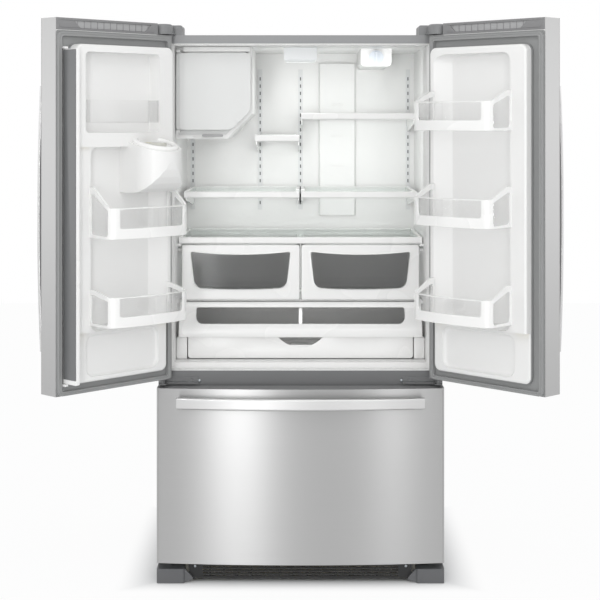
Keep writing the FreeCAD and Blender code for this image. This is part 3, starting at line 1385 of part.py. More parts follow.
def chute_form(door, wall):
    """The ice chute's body: a rounded lobe whose tilted top and scooped underside meet its front."""
    radius = float(S.chute_radius) - wall
    depth, near = float(S.chute_d), float(S.valley_floor) - 1
    far = depth + radius
    tilt = math.tan(math.radians(float(S.chute_tilt)))
    top = float(RING_Z) - 2 - wall
    low = float(CHUTE_LOW) + wall
    front = float(S.chute_front)
    scoop = [(near, low), (near + 62, low)]
    steps = 6
    for step in range(1, steps + 1):
        turn = math.pi / 2 * step / steps
        scoop.append((near + 62 + (far - near - 62) * math.sin(turn),
                      low + (top - front - low) * (1 - math.cos(turn))))
    outline = scoop + [(far, top - tilt * (far - depth)), (near, top + tilt * (depth - near))]
    side = (S.chute_u - radius, S.chute_u + radius)
    body = door.profile(outline, side)
    plan = fuse(door.pole(S.chute_u, depth, (low - 1, top + 40), radius),
                door.block(side, (near, depth), (low - 1, top + 40)))
    return add("Part::Common", Base=body, Tool=plan)


SPOUT_U = S.dispenser_hinge + S.dispenser_wide / 2
SPOUT_D = 6
SPOUT_RADIUS = 24
DUCT_RADIUS = 20
PANEL_LOW = DOOR_LOW + S.dispenser_low_lift + S.dispenser_height - S.dispenser_panel_height


def chute_path(door, radius):
    """The slanted way from the chute's funnel down to the dispenser's spout."""
    start = Vector(float(door.across(S.chute_u)), float(S.chute_d - S.pin_depth), float(RING_Z) - 56)
    end = Vector(float(door.across(SPOUT_U)), SPOUT_D - float(S.pin_depth), float(PANEL_LOW) + 6)
    run = end - start
    duct = Part.makeCylinder(radius, run.Length, start, run)
    duct = duct.fuse(Part.makeSphere(radius, start))
    funnel = Part.makeCone(radius, float(S.chute_bore), 64, start, Vector(0, 0, 1))
    return computed(duct.fuse(funnel))


def chute_ring(door):
    """The soft ring that seals the chute's mouth."""
    ring = Part.makeTorus(float(S.chute_ring_radius), float(S.chute_ring_tube))
    ring.rotate(Vector(), Vector(1, 0, 0), -float(S.chute_tilt))
    ring.translate(Vector(float(door.across(S.chute_u)), float(S.chute_d - S.pin_depth), float(RING_Z)))
    return computed(ring)


def liner_plate(door):
    return door.block((DOOR_SKIN, DOOR_WIDE - DOOR_SKIN), (LINER_FRONT, S.door_back),
                      (CAP_HIGH, CAP_LOW))


def socket_room(door):
    return door.block((0, S.corner_length + 3), (-S.door_bulge * 2, S.door_back * 2),
                      (SOCKET_LOW, SOCKET_TOP))


def door_liner(door, core, extra=(), holes=()):
    """White moulded inner panel: a plate with the raised walls that carry the bins."""
    rim = liner_plate(door)
    shell = cut(fuse(rim, dyke(door, 0), *extra), core, socket_room(door), *holes)
    return door.hang(door.name + "_liner", shell)


def door_gasket(door):
    """Magnetic gasket round the back of the door."""
    inset = S.gasket_inset
    free = DOOR_WIDE - 1.5
    z = (DOOR_LOW + 2, MOUTH_TOP + 17)
    depth = (S.door_back, S.door_back + S.gasket_thick)
    outer = door.block((inset, free), depth, z)
    width = S.gasket_width
    inner = door.block((inset + width, free - width), (depth[0] - THROUGH, depth[1] + THROUGH),
                       (z[0] + width, z[1] - width))
    groove_at = [door.block((inset + 4, free - 4), (depth[1] - 2, depth[1] + 1), (z[0] + 4, z[0] + 6)),
                 door.block((inset + 4, free - 4), (depth[1] - 2, depth[1] + 1), (z[1] - 6, z[1] - 4))]
    return door.hang(door.name + "_gasket", cut(outer, inner, *groove_at))


def bowed_strip(chord, thick, bow):
    """A face between two arcs over a chord along X that bows towards -Y."""
    half, thick, bow = float(chord) / 2, float(thick), float(bow)
    front = Part.Arc(Vector(-half, 0, 0), Vector(0, -bow, 0), Vector(half, 0, 0))
    back = Part.Arc(Vector(half, thick, 0), Vector(0, thick - bow, 0), Vector(-half, thick, 0))
    ends = [Part.LineSegment(Vector(half, 0, 0), Vector(half, thick, 0)),
            Part.LineSegment(Vector(-half, thick, 0), Vector(-half, 0, 0))]
    pieces = [front.toShape(), ends[0].toShape(), back.toShape(), ends[1].toShape()]
    return Part.Face(Part.Wire(pieces))


def bar(chord, wide, thick, bow):
    """A bowed bar along X with softened edges, centred on its width."""
    solid = bowed_strip(chord, thick, bow).extrude(Vector(0, 0, float(wide)))
    solid.translate(Vector(0, 0, -float(wide) / 2))
    long_edges = [edge for edge in solid.Edges if edge.Length > float(chord) * 0.9]
    return solid.makeFillet(float(thick) * 0.42, long_edges)


def door_handle(door):
    """Bowed stainless bar handle on two posts near the door's free edge."""
    u = DOOR_WIDE - S.handle_inset
    low = DOOR_LOW + S.handle_low_lift
    grip = bar(S.handle_length, S.handle_wide, S.handle_thick, S.handle_bow)
    grip.rotate(Vector(), Vector(0, 1, 0), 90)
    near = -float(S.door_bulge + S.handle_stand + S.pin_depth)
    grip.translate(Vector(float(door.across(u)), near, float(low + S.handle_length / 2)))
    posts = [rod("y", (door.across(u), -(S.door_bulge + S.handle_stand + S.pin_depth) + 4, z),
                 S.stud_radius, S.handle_stand + 4)
             for z in (low + 36, low + S.handle_length - 36)]
    face = rod("z", (BULGE_X * door.way, BULGE_Y, low), BULGE_RADIUS, S.handle_length)
    return door.hang(door.name + "_handle", fuse(computed(grip), cut(fuse(*posts), face)))


BIN_SKIRT = 26


def bin_shape(door, low, rim, back):
    """A clear bin with a bowed front, sloping sides and a thicker band round its foot."""
    near, far = float(S.dyke_crest), float(S.bin_corner)
    start, end = float(door.across(S.bin_hinge)), float(door.across(BIN_FREE))
    start, end = min(start, end), max(start, end)
    shift = float(S.pin_depth)

    def plan(inset, depth_inset):
        x0, x1 = start + inset, end - inset
        y0, y1 = near - shift + depth_inset, far - shift - inset
        bow = float(S.bin_bow)
        pieces = [Part.LineSegment(Vector(x0, y0, 0), Vector(x1, y0, 0)),
                  Part.LineSegment(Vector(x1, y0, 0), Vector(x1, y1, 0)),
                  Part.Arc(Vector(x1, y1, 0), Vector((x0 + x1) / 2, y1 + bow, 0), Vector(x0, y1, 0)),
                  Part.LineSegment(Vector(x0, y1, 0), Vector(x0, y0, 0))]
        return Part.Face(Part.Wire([piece.toShape() for piece in pieces]))

    def tub(inset, depth_inset, base, height):
        solid = plan(inset, depth_inset).extrude(Vector(0, 0, height))
        upright = [edge for edge in solid.Edges if edge.BoundBox.ZLength > height - 0.01
                   and edge.CenterOfMass.y > near - shift + 20]
        solid = solid.makeFillet(22 - inset, upright)
        solid.translate(Vector(0, 0, base))
        return solid

    wall = float(S.bin_wall)
    low, rim, back = float(low), float(rim), float(back)
    outer = tub(0.8, 0, low, back)
    foot = [edge for edge in outer.Edges if edge.BoundBox.ZMax < low + 0.01
            and edge.CenterOfMass.y > near - shift + 1]
    outer = outer.makeFillet(7, foot)
    outer = outer.fuse(tub(0, 0, low + 8, BIN_SKIRT).cut(tub(0.8, 0, low + 8, BIN_SKIRT)))
    outer = outer.cut(tub(0.8 + wall, wall, low + wall, back + 5))
    slope = [(near + 18, low + back), (far - 8, low + rim), (far + 40, low + rim),
             (far + 40, low + back + 10), (near + 18, low + back + 10)]
    trimmed = cut(computed(outer), door.profile(slope, (0, DOOR_WIDE)))
    return trimmed


# The middle bin's back wall is cut away round the ice chute, with this much clearance.
CHUTE_CLEARANCE = 3


def door_bins(door):
    """The door's bins, hooked on the liner."""
    if door.way > 0:
        places = [(DOOR_LOW + S.left_low_bin_lift, S.left_low_bin_rim, S.left_low_bin_back),
                  (CHUTE_LOW - S.left_mid_bin_drop, S.left_mid_bin_rim, S.left_mid_bin_back)]
    else:
        places = [(DOOR_LOW + S.right_low_bin_lift, S.right_low_bin_rim, S.right_low_bin_back),
                  (DOOR_LOW + S.right_mid_bin_lift, S.right_mid_bin_rim, S.right_mid_bin_back),
                  (DOOR_LOW + S.right_top_bin_lift, S.right_top_bin_rim, S.right_top_bin_back)]
    bins = [bin_shape(door, *place) for place in places]
    if door.way > 0:
        reach = S.chute_radius + CHUTE_CLEARANCE
        chute_room = door.block((S.chute_u - reach, S.chute_u + reach), (S.dyke_crest - 1, S.bin_corner),
                                (CHUTE_LOW - CHUTE_CLEARANCE, RING_Z))
        bins[1] = cut(bins[1], chute_room)
        low = LEDGE_TOP + S.left_top_bin_rise
        u = (S.alcove_hinge + 8, ALCOVE_FREE - 8)
        z = (low, low + S.left_top_bin_rim)
        depth = (S.valley_floor, S.dyke_top_crest + 18)
        wall = S.bin_wall
        outer = rounded(door.block(u, depth, z), 14,
                        edges_along(Vector(0, 0, 1), lambda p: p.y > float(depth[1] - S.pin_depth) - 2))
        bins.append(cut(outer, door.block((u[0] + wall, u[1] - wall), (depth[0] + wall, depth[1] - wall),
                                          (z[0] + wall, z[1] + THROUGH))))
    return door.hang(door.name + "_bins", group(*bins))


def door_foam(door, core, room, holes=()):
    """Rigid foam that fills the door behind its skin, inside its raised walls and its top cap."""
    block = door.slab(DOOR_SKIN, LINER_FRONT, (CAP_HIGH, CAP_LOW), 7)
    corner = door.block((0, S.corner_length + CAP_WALL), (-S.door_bulge * 2, S.door_back * 2),
                        (CAP_LOW, DOOR_TOP))
    upper = cut(room, corner)
    return door.hang(door.name + "_foam", cut(fuse(block, upper, core), socket_room(door), *holes))


def dispenser_hole(door, grow=0):
    """The opening in the door's front for the dispenser."""
    u = (S.dispenser_hinge - grow, S.dispenser_hinge + S.dispenser_wide + grow)
    low = DOOR_LOW + S.dispenser_low_lift
    high = low + S.dispenser_height
    return door.block(u, (-S.door_bulge * 2, DISPENSER_BACK + grow), (low - grow, high + grow))


DISPENSER_BACK = S.dispenser_deep - 19
PADDLE_PIN_Z = PANEL_LOW - 12
PADDLE_D = 4
PADDLE_PIN = 2.5


def dispenser_housing(door, path):
    """Dark dispenser: control panel above a recess with a spout, grille and drip tray."""
    wall = 3
    low = DOOR_LOW + S.dispenser_low_lift
    u = (S.dispenser_hinge, S.dispenser_hinge + S.dispenser_wide)
    body = dispenser_hole(door)
    face = door.slab(-1.2, S.door_back, (low - 2, low + S.dispenser_height + 2), 2)
    body = add("Part::Common", Base=body, Tool=face)
    recess = door.block((u[0] + wall * 3, u[1] - wall * 3), (-S.door_bulge * 2, DISPENSER_BACK - wall),
                        (low + 18, PANEL_LOW))
    back_room = door.block((u[0] + wall * 5, u[1] - wall * 5), (-2, DISPENSER_BACK + THROUGH),
                           (PANEL_LOW + wall * 2, low + S.dispenser_height - wall * 2))
    tray = [door.block(about(S.dispenser_hinge + 30 + step * 12, 5), (-8, DISPENSER_BACK - 10),
                       (low + 14, low + 18 + THROUGH)) for step in range(16)]
    shell = cut(body, recess, back_room, *tray)
    spout = door.pole(SPOUT_U, SPOUT_D, (PANEL_LOW - 10, PANEL_LOW + 1), SPOUT_RADIUS)
    lugs = []
    for side in (-1, 1):
        near, far = S.paddle_wide / 2 + 2, S.paddle_wide / 2 + 10
        ends = (SPOUT_U + near, SPOUT_U + far) if side > 0 else (SPOUT_U - far, SPOUT_U - near)
        lugs.append(door.block(ends, (PADDLE_D - 6, PADDLE_D + 12), (PADDLE_PIN_Z - 6, PANEL_LOW + 1)))
    bore = rod("x", (door.across(SPOUT_U) - S.paddle_wide, PADDLE_D + 3 - S.pin_depth, PADDLE_PIN_Z),
               PADDLE_PIN + S.running_gap, S.paddle_wide * 2)
    return door.hang("dispenser_housing", cut(fuse(shell, spout, *lugs), bore, path))


def dispenser_paddle(door):
    """Paddle that a glass pushes to call for ice or water."""
    u = about(SPOUT_U, S.paddle_wide)
    depth = (PADDLE_D, PADDLE_D + S.paddle_thick)
    blade = door.block(u, depth, (PADDLE_PIN_Z - S.paddle_height, PADDLE_PIN_Z - 20))
    blade = rounded(blade, 10, edges_along(Vector(0, 1, 0), lambda p: p.z < float(PADDLE_PIN_Z) - 60))
    arms = [door.block(about(SPOUT_U + side * (S.paddle_wide / 2 - 3), 5), (depth[0], depth[1] + 2),
                       (PADDLE_PIN_Z - 24, PADDLE_PIN_Z + 4)) for side in (-1, 1)]
    pins = [rod("x", (door.across(SPOUT_U) + side * (S.paddle_wide / 2 + 3) - 6,
                      PADDLE_D + 3 - S.pin_depth, PADDLE_PIN_Z), PADDLE_PIN, 12) for side in (-1, 1)]
    return door.hang("dispenser_paddle", fuse(blade, *arms, *pins))


MULLION_LOW = DOOR_LOW + S.mullion_low_lift
MULLION_TOP = DOOR_TOP - S.mullion_top_drop
MULLION_FACE = DOOR_WIDE - S.mullion_face_inset
MULLION_PIN_U = MULLION_FACE - S.mullion_pin_inset


def mullion_lugs(door):
    """Two brackets on the liner that hold the mullion's pins."""
    lugs = []
    for low, high in ((MULLION_LOW - 7, MULLION_LOW - 1), (MULLION_TOP + 1, MULLION_TOP + 7)):
        arm = door.block(about(MULLION_PIN_U - 1, 12), (S.door_back, S.mullion_pin_d + 6), (low, high))
        lugs.append(cut(arm, door.pole(MULLION_PIN_U, S.mullion_pin_d, (low - 1, high + 1),
                                       S.mullion_pin_radius + S.running_gap)))
    return lugs


def mullion(door):
    """Flip mullion: a steel-faced bar with a pin at each end and a guide slot on top."""
    face = MULLION_FACE
    body = door.block((face - S.mullion_thick, face),
                      (S.mullion_start, S.mullion_start + S.mullion_width), (MULLION_LOW, MULLION_TOP))
    body = rounded(body, 3, edges_along(Vector(0, 0, 1)))
    slot = door.block((face - 13, face - 5), (S.mullion_start + 30, S.mullion_start + S.mullion_width + 1),
                      (MULLION_TOP - 8, MULLION_TOP + 1))
    pins = [door.pole(MULLION_PIN_U, S.mullion_pin_d, (z, z + 8), S.mullion_pin_radius)
            for z in (MULLION_LOW - 7, MULLION_TOP - 1)]
    return door.hang("mullion", fuse(cut(body, slot), *pins))


# ---------------------------------------------------------------- freezer drawer
DRAWER_LOW = S.drawer_lift
DRAWER_CENTER_Y = deep(BULGE_RADIUS - S.door_bulge)
PANEL_BACK = deep(S.door_back + S.inner_panel_thick)


def drawer_slab(inset, back, z, corner):
    """The drawer front's plan with its bowed face."""
    bow = rod("z", (0, DRAWER_CENTER_Y, z[0] - THROUGH), BULGE_RADIUS - inset, z[1] - z[0] + 2 * THROUGH)
    body = box(both(HALF - inset), (deep(-S.door_bulge - 4), back), z)
    plan = add("Part::Common", Base=body, Tool=bow)
    return rounded(plan, corner, edges_along(Vector(0, 0, 1), lambda p: p.y < float(deep(10))))


def freezer_skin():
    """Bowed stainless wrapper of the freezer drawer's front."""
    outer = drawer_slab(0, deep(S.door_back), (DRAWER_LOW, DRAWER_TOP), 8)
    inner = drawer_slab(DOOR_SKIN, deep(S.door_back) + THROUGH,
                        (DRAWER_LOW - THROUGH, DRAWER_TOP + THROUGH), 7)
    return node("freezer_skin", cut(outer, inner))


DRAWER_CAP = 18


def drawer_cap_shapes():
    return [drawer_slab(DOOR_SKIN, deep(S.door_back), z, 7)
            for z in ((DRAWER_LOW, DRAWER_LOW + DRAWER_CAP), (DRAWER_TOP - DRAWER_CAP, DRAWER_TOP))]


def freezer_caps():
    """Moulded caps along the top and bottom of the drawer front."""
    return node("freezer_caps", group(*drawer_cap_shapes()))


PANEL_HALF = FREEZER_HALF - 2
PANEL_Z = (FREEZER_FLOOR + 12, FREEZER_TOP - 14)


def freezer_inner_panel():
    """White inner panel of the drawer front, raised to fit the freezer's mouth."""
    plate = box(both(HALF - DOOR_SKIN), (deep(LINER_FRONT), deep(S.door_back)),
                (DRAWER_LOW + DRAWER_CAP, DRAWER_TOP - DRAWER_CAP))
    form = box(both(PANEL_HALF), (deep(LINER_FRONT), PANEL_BACK), PANEL_Z)
    form = rounded(form, 7, lambda edge: edge.BoundBox.YMin > float(PANEL_BACK) - 0.01
                   or edge.BoundBox.YLength > 10)
    core = box(both(PANEL_HALF - S.plastic), (deep(LINER_FRONT) - THROUGH, PANEL_BACK - S.plastic),
               (PANEL_Z[0] + S.plastic, PANEL_Z[1] - S.plastic))
    return node("freezer_inner_panel", cut(fuse(plate, form), rounded(core, 8, edges_along(Vector(0, 1, 0)))))


def freezer_foam():
    """Foam core of the drawer front."""
    block = drawer_slab(DOOR_SKIN, deep(LINER_FRONT),
                        (DRAWER_LOW + DRAWER_CAP, DRAWER_TOP - DRAWER_CAP), 7)
    core = box(both(PANEL_HALF - S.plastic), (deep(LINER_FRONT) - THROUGH, PANEL_BACK - S.plastic),
               (PANEL_Z[0] + S.plastic, PANEL_Z[1] - S.plastic))
    return node("freezer_foam", fuse(block, rounded(core, 8, edges_along(Vector(0, 1, 0)))))


def freezer_gasket():
    """Gasket round the back of the drawer front."""
    outer_half = HALF - S.gasket_inset
    width = S.gasket_width
    z = (FREEZER_FLOOR - S.partition - S.plastic - width, DRAWER_TOP - 6)
    y = (deep(S.door_back), deep(S.door_back + S.gasket_thick))
    outer = box(both(outer_half), y, z)
    inner = box(both(outer_half - width), (y[0] - THROUGH, y[1] + THROUGH), (z[0] + width, z[1] - width))
    return node("freezer_gasket", cut(outer, inner))


def freezer_handle():
    """Bowed stainless bar handle on two posts across the top of the drawer."""
    half = HALF - S.drawer_handle_inset
    level = DRAWER_TOP - S.drawer_handle_drop
    near = float(deep(-S.handle_stand))
    grip = bar(half * 2, S.drawer_handle_height, S.handle_thick, S.door_bulge + 3)
    grip.translate(Vector(0, near, float(level)))
    posts = [rod("y", (side * (half - 30), near + 2, level), S.stud_radius, S.handle_stand)
             for side in (-1, 1)]
    face = rod("z", (0, DRAWER_CENTER_Y, level - 30), BULGE_RADIUS, 60)
    return node("freezer_handle", fuse(computed(grip), cut(fuse(*posts), face)))


SLIDE_Z = about(S.slide_level, S.rail_height)
SLIDE_Y = span(deep(S.flange_depth + 45), S.slide_length)


def slide_members(step, y, shrink):
    """One pair of slide members, a number of steps in from the liner's walls."""
    pitch = S.rail_thick + S.slide_gap
    members = []
    for side in (-1, 1):
        outer = side * (FREEZER_HALF - S.face_gap - pitch * step)
        reach = outer - side * S.rail_thick
        x = (outer, reach) if side < 0 else (reach, outer)
        members.append(box(x, y, (SLIDE_Z[0] + shrink, SLIDE_Z[1] - shrink)))
    return members


def freezer_rails():
    """Fixed outer members of the drawer slides on the freezer liner's walls."""
    members = []
    for member, side in zip(slide_members(0, SLIDE_Y, 0), (-1, 1)):
        foot = box((side * FREEZER_HALF, side * (FREEZER_HALF - 3)) if side < 0
                   else (side * (FREEZER_HALF - 3), side * FREEZER_HALF),
                   (SLIDE_Y[0] + 30, SLIDE_Y[0] + 60), SLIDE_Z)
        members.append(fuse(member, foot))
    return node("freezer_rails", group(*members))


def freezer_slides():
    """Telescopic middle members of the drawer slides."""
    return node("freezer_slides", group(*slide_members(1, SLIDE_Y, 3)))


def open_basket(half, y, z, wall, slot_rows):
    """A moulded basket with slotted walls."""
    outer = rounded(box(both(half), y, z), 12, edges_along(Vector(0, 0, 1)))
    room = box((-half + wall, half - wall), (y[0] + wall, y[1] - wall), (z[0] + wall, z[1] + THROUGH))
    cuts = []
    columns = 10
    pitch = (half * 2 - 80) / columns
    height = (z[1] - z[0] - 60) / slot_rows
    for column in range(columns):
        middle = -half + 40 + pitch * (column + 0.5)
        for row in range(slot_rows):
            cuts.append(box(about(middle, pitch * 0.6), (y[0] - THROUGH, y[1] + THROUGH),
                            span(z[0] + 25 + height * row, height * 0.75)))
    return cut(outer, room, *cuts)


def freezer_basket():
    """Lower freezer basket, hung between the drawer's own slide members."""
    y = (PANEL_BACK + 6, PANEL_BACK + 6 + S.basket_depth)
    tub = open_basket(BASKET_HALF, y, (S.basket_low, S.basket_top), 4, 3)
    member_y = (PANEL_BACK, PANEL_BACK + S.slide_length)
    members = slide_members(2, member_y, 6)
    shelves = []
    edge = FREEZER_HALF - S.face_gap - (S.rail_thick + S.slide_gap) * 2 - S.rail_thick / 2
    for side in (-1, 1):
        outer, inner = side * edge, side * (BASKET_HALF - 4)
        x = (outer, inner) if side < 0 else (inner, outer)
        shelves.append(box(x, (PANEL_BACK + 6, PANEL_BACK + 6 + S.basket_depth),
                           (S.basket_top - 4, S.basket_top)))
        shelves.append(box(x, member_y, (SLIDE_Z[0] + 6, SLIDE_Z[0] + 9)))
        post_x = (outer, outer - side * 3) if side < 0 else (outer - side * 3, outer)
        shelves.append(box(post_x, y, (S.basket_top - 4, SLIDE_Z[0] + 9)))
    return node("freezer_basket", fuse(tub, *members, *shelves))


def upper_basket():
    """Shallow upper freezer basket that runs on the liner's ledges."""
    half = FREEZER_HALF - LEDGE_WIDE
    y = span(PANEL_BACK + 50, S.basket_depth)
    tub = open_basket(half, y, (S.upper_basket_low, S.upper_basket_top), 3, 1)
    flanges = []
    for side in (-1, 1):
        outer, inner = side * (FREEZER_HALF - 2), side * (half - 1)
        x = (outer, inner) if side < 0 else (inner, outer)
        flanges.append(box(x, y, (UPPER_RIM - RIM_FLANGE, UPPER_RIM)))
    return node("upper_basket", fuse(tub, *flanges))


# ---------------------------------------------------------------- rollers and feet
def rear_rollers():
    """Two rollers with their axle stubs in the base channels' ears."""
    wheels = []
    for side in (-1, 1):
        x = side * FOOT_X
        wheels.append(fuse(rod("x", (x - S.roller_width / 2, ROLLER_Y, S.roller_radius),
                               S.roller_radius, S.roller_width),
                           rod("x", (x - AXLE_LENGTH / 2, ROLLER_Y, S.roller_radius),
                               S.axle_radius, AXLE_LENGTH)))
    return node("rear_rollers", group(*wheels))


def leveling_foot(name, side):
    """A leveling foot: a pad on a threaded stud."""
    x = side * FOOT_X
    pad = turned(name + "_pad", [(0, 0), (S.foot_radius, 0), (S.foot_radius, S.foot_height - 3),
                                 (S.foot_radius - 5, S.foot_height), (0, S.foot_height)], x, FOOT_Y)
    stud = rod("z", (x, FOOT_Y, S.foot_height - 1), S.stud_thread, S.foam_lift - 8 - S.foot_height)
    return node(name, fuse(pad, stud))


# ---------------------------------------------------------------- assembly
def build_cabinet():
    for make in (cabinet_shell, rear_panels, fridge_liner, freezer_liner, cabinet_foam, center_rail,
                 base_frame, kick_grille, foot_covers, door_hinges, hinge_covers, compressor,
                 condenser, condenser_fan, duct_covers, evaporator_fan, evaporator_coil,
                 water_valve, shelf_tracks, shelf_frames, shelf_glass, pantry_drawer,
                 ceiling_light, filter_housing, water_filter, ice_box, ice_door, ice_maker,
                 freezer_rails, rear_rollers):
        make()
    crisper(-1)
    crisper(1)
    leveling_foot("leveling_foot_left", -1)
    leveling_foot("leveling_foot_right", 1)


def build_door(door):
    """Everything that swings with one upper door."""
    *caps, room = cap_shapes(door)
    core = dyke(door, S.plastic)
    extra, liner_holes, foam_holes, skin_hole = [], [], [], None
    if door.way > 0:
        wall = float(S.plastic)
        core = fuse(core, chute_form(door, wall))
        path = chute_path(door, DUCT_RADIUS)
        sleeve = chute_path(door, DUCT_RADIUS + wall)
        skin_hole = dispenser_hole(door)
        bore_wall = door.pole(S.chute_u, S.chute_d, (RING_Z - 30, RING_Z + 2), S.chute_bore + wall)
        bore = door.pole(S.chute_u, S.chute_d, (RING_Z - 1, RING_Z + 30), S.chute_bore)
        extra = [chute_form(door, 0), chute_ring(door), *mullion_lugs(door)]
        liner_holes = [path, bore]
        foam_holes = [sleeve, bore_wall, dispenser_hole(door)]
        core = cut(core, sleeve, bore_wall)
        dispenser_housing(door, path)
        dispenser_paddle(door)
        mullion(door)
    door_skin(door, skin_hole)
    door.hang(door.name + "_caps", group(*caps))
    door_liner(door, core, extra, liner_holes)
    door_foam(door, core, room, foam_holes)
    door_gasket(door)
    door_handle(door)
    door_bins(door)


def build_drawer():
    for make in (freezer_skin, freezer_caps, freezer_inner_panel, freezer_foam, freezer_gasket,
                 freezer_handle, freezer_basket, freezer_slides, upper_basket):
        make()


build_cabinet()
build_door(Door("left_door", 1))
build_door(Door("right_door", -1))
build_drawer()
DOC.recompute()
bad = [item.Label for item in DOC.Objects if {"Invalid", "Error"} & set(item.State)]
bad += [name for name, item in NODES.items() if item.Shape.isNull() or not item.Shape.isValid()]
if bad:
    raise RuntimeError("not built: " + ", ".join(bad))
os.makedirs("parts", exist_ok=True)
for name, item in NODES.items():
    item.Shape.exportStep(f"parts/{name}.step")
print(len(NODES), "sub-parts written")
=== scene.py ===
# %% [markdown]
# # A French door refrigerator, dressed for the studio
#
# The refrigerator's pieces already stand at their real size and place: they come in as a fixed
# frame. This file gives every piece its finish, and adds the moulded, pressed and clear pieces
# that a plain solid can't show, such as door bins, bellows gaskets and drawer windows.
# Everything is in metres, with the floor at Z = 0 and the front of the cabinet towards -Y.

# %% Load the frame
import json
import math

import bpy
import numpy as np
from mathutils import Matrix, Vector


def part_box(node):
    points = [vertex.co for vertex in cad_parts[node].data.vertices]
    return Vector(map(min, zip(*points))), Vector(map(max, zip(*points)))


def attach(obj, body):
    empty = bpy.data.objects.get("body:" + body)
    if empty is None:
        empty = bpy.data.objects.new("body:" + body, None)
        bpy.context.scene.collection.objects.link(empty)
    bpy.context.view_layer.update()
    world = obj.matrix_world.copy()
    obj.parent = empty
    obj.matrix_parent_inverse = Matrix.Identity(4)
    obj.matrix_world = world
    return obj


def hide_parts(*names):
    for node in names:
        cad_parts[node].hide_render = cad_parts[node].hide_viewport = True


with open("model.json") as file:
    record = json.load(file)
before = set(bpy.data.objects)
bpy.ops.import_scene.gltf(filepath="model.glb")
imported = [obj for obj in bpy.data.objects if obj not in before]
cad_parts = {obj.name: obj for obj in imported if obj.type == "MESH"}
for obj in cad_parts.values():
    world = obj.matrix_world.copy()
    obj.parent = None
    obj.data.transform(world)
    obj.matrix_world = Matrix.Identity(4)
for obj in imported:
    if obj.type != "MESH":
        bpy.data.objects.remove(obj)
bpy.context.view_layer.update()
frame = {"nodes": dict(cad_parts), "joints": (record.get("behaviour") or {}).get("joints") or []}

# %% [markdown]
# ## Units, colours and one way to add a node
#
# Sizes are written in millimetres, as on a drawing, and turned to metres by one factor. Colours
# are written as the sRGB hex values a colour picker shows, and the shader wants them linear.
# Every material is a small node tree, so one function adds a node, sets it and links it.

# %% Helpers for colours and nodes
MM = 0.001


def linear(hex_colour):
    """sRGB hex to linear RGBA: below 0.04045 divide by 12.92, above it ((c + 0.055) / 1.055) ^ 2.4."""
    channels = [int(hex_colour[i:i + 2], 16) / 255 for i in (0, 2, 4)]
    return tuple(c / 12.92 if c <= 0.04045 else ((c + 0.055) / 1.055) ** 2.4 for c in channels) + (1.0,)


def add_node(tree, kind, inputs=None, **settings):
    """Adds one node to a tree. Inputs are plain values, or the outputs of other nodes to link."""
    made = tree.nodes.new(kind)
    for name, value in settings.items():
        setattr(made, name, value)
    for socket, value in (inputs or {}).items():
        if isinstance(value, bpy.types.NodeSocket):
            tree.links.new(value, made.inputs[socket])
        else:
            made.inputs[socket].default_value = value
    return made


def new_material(name, **shader):
    """A material with one Principled shader; its keyword names are the sockets' names with _ for a space."""
    made = bpy.data.materials.new(name)
    made.use_nodes = True
    bsdf = made.node_tree.nodes["Principled BSDF"]
    for socket, value in shader.items():
        bsdf.inputs[socket.replace("_", " ")].default_value = value
    return made, made.node_tree, bsdf


def place(tree, stretch=(1, 1, 1), turn=(0, 0, 0)):
    """Object coordinates, scaled and turned, as the vector that a pattern is laid on."""
    where = add_node(tree, "ShaderNodeTexCoord")
    return add_node(tree, "ShaderNodeMapping",
                    {"Vector": where.outputs["Object"], "Scale": stretch, "Rotation": turn}).outputs[0]


# %% [markdown]
# ## White moulded plastics
#
# The liners of a refrigerator are high-impact polystyrene, drawn over a mould under vacuum. The
# surface is satin, faintly uneven where the sheet stretched, and slightly cool in colour. Drawer
# fronts, shelf rims and bin frames are injection moulded: a tighter gloss on the same white.

# %% Vacuum-formed and injection-moulded white
def moulded_white(name, colour, roughness, grain, swell, coat=0.0):
    """Moulded polystyrene: a fine eggshell grain over a long, shallow swell of the sheet."""
    made, tree, bsdf = new_material(name, Base_Color=linear(colour), Roughness=roughness, IOR=1.55,
                                    Coat_Weight=coat, Coat_Roughness=0.12)
    fine = add_node(tree, "ShaderNodeTexNoise", {"Vector": place(tree), "Scale": 1 / grain, "Detail": 2.0})
    long = add_node(tree, "ShaderNodeTexNoise", {"Vector": place(tree), "Scale": 1 / swell, "Detail": 1.0})
    sheen = add_node(tree, "ShaderNodeMapRange", {"Value": long.outputs["Fac"], "To Min": roughness - 0.05,
                                                  "To Max": roughness + 0.06})
    small = add_node(tree, "ShaderNodeBump", {"Height": fine.outputs["Fac"], "Strength": 0.05,
                                              "Distance": 0.2 * MM})
    wide = add_node(tree, "ShaderNodeBump", {"Height": long.outputs["Fac"], "Strength": 0.12,
                                             "Distance": 1.5 * MM, "Normal": small.outputs["Normal"]})
    tree.links.new(sheen.outputs["Result"], bsdf.inputs["Roughness"])
    tree.links.new(wide.outputs["Normal"], bsdf.inputs["Normal"])
    return made


# Drawn polystyrene sheet: satin, with the slow swell of a stretched sheet.
liner_white = moulded_white("vacuum formed polystyrene", "E9E9E8", 0.34, 2 * MM, 90 * MM)
# Injection-moulded frames come out of a polished mould, glossier and flatter.
frame_white = moulded_white("injection moulded polystyrene", "EEEEED", 0.26, 1.5 * MM, 160 * MM, 0.15)
# The ice maker and its bin are a duller polypropylene.
ice_white = moulded_white("moulded polypropylene", "DDDEDD", 0.42, 1.2 * MM, 60 * MM)
print("white plastics:", [m.name for m in (liner_white, frame_white, ice_white)])

# %% [markdown]
# ## Grey and dark plastics
#
# Door end caps, hinge covers and foot covers are ABS with a spark-eroded texture: the mould is
# etched, so the surface scatters light evenly. The dispenser is a glossy black ABS.

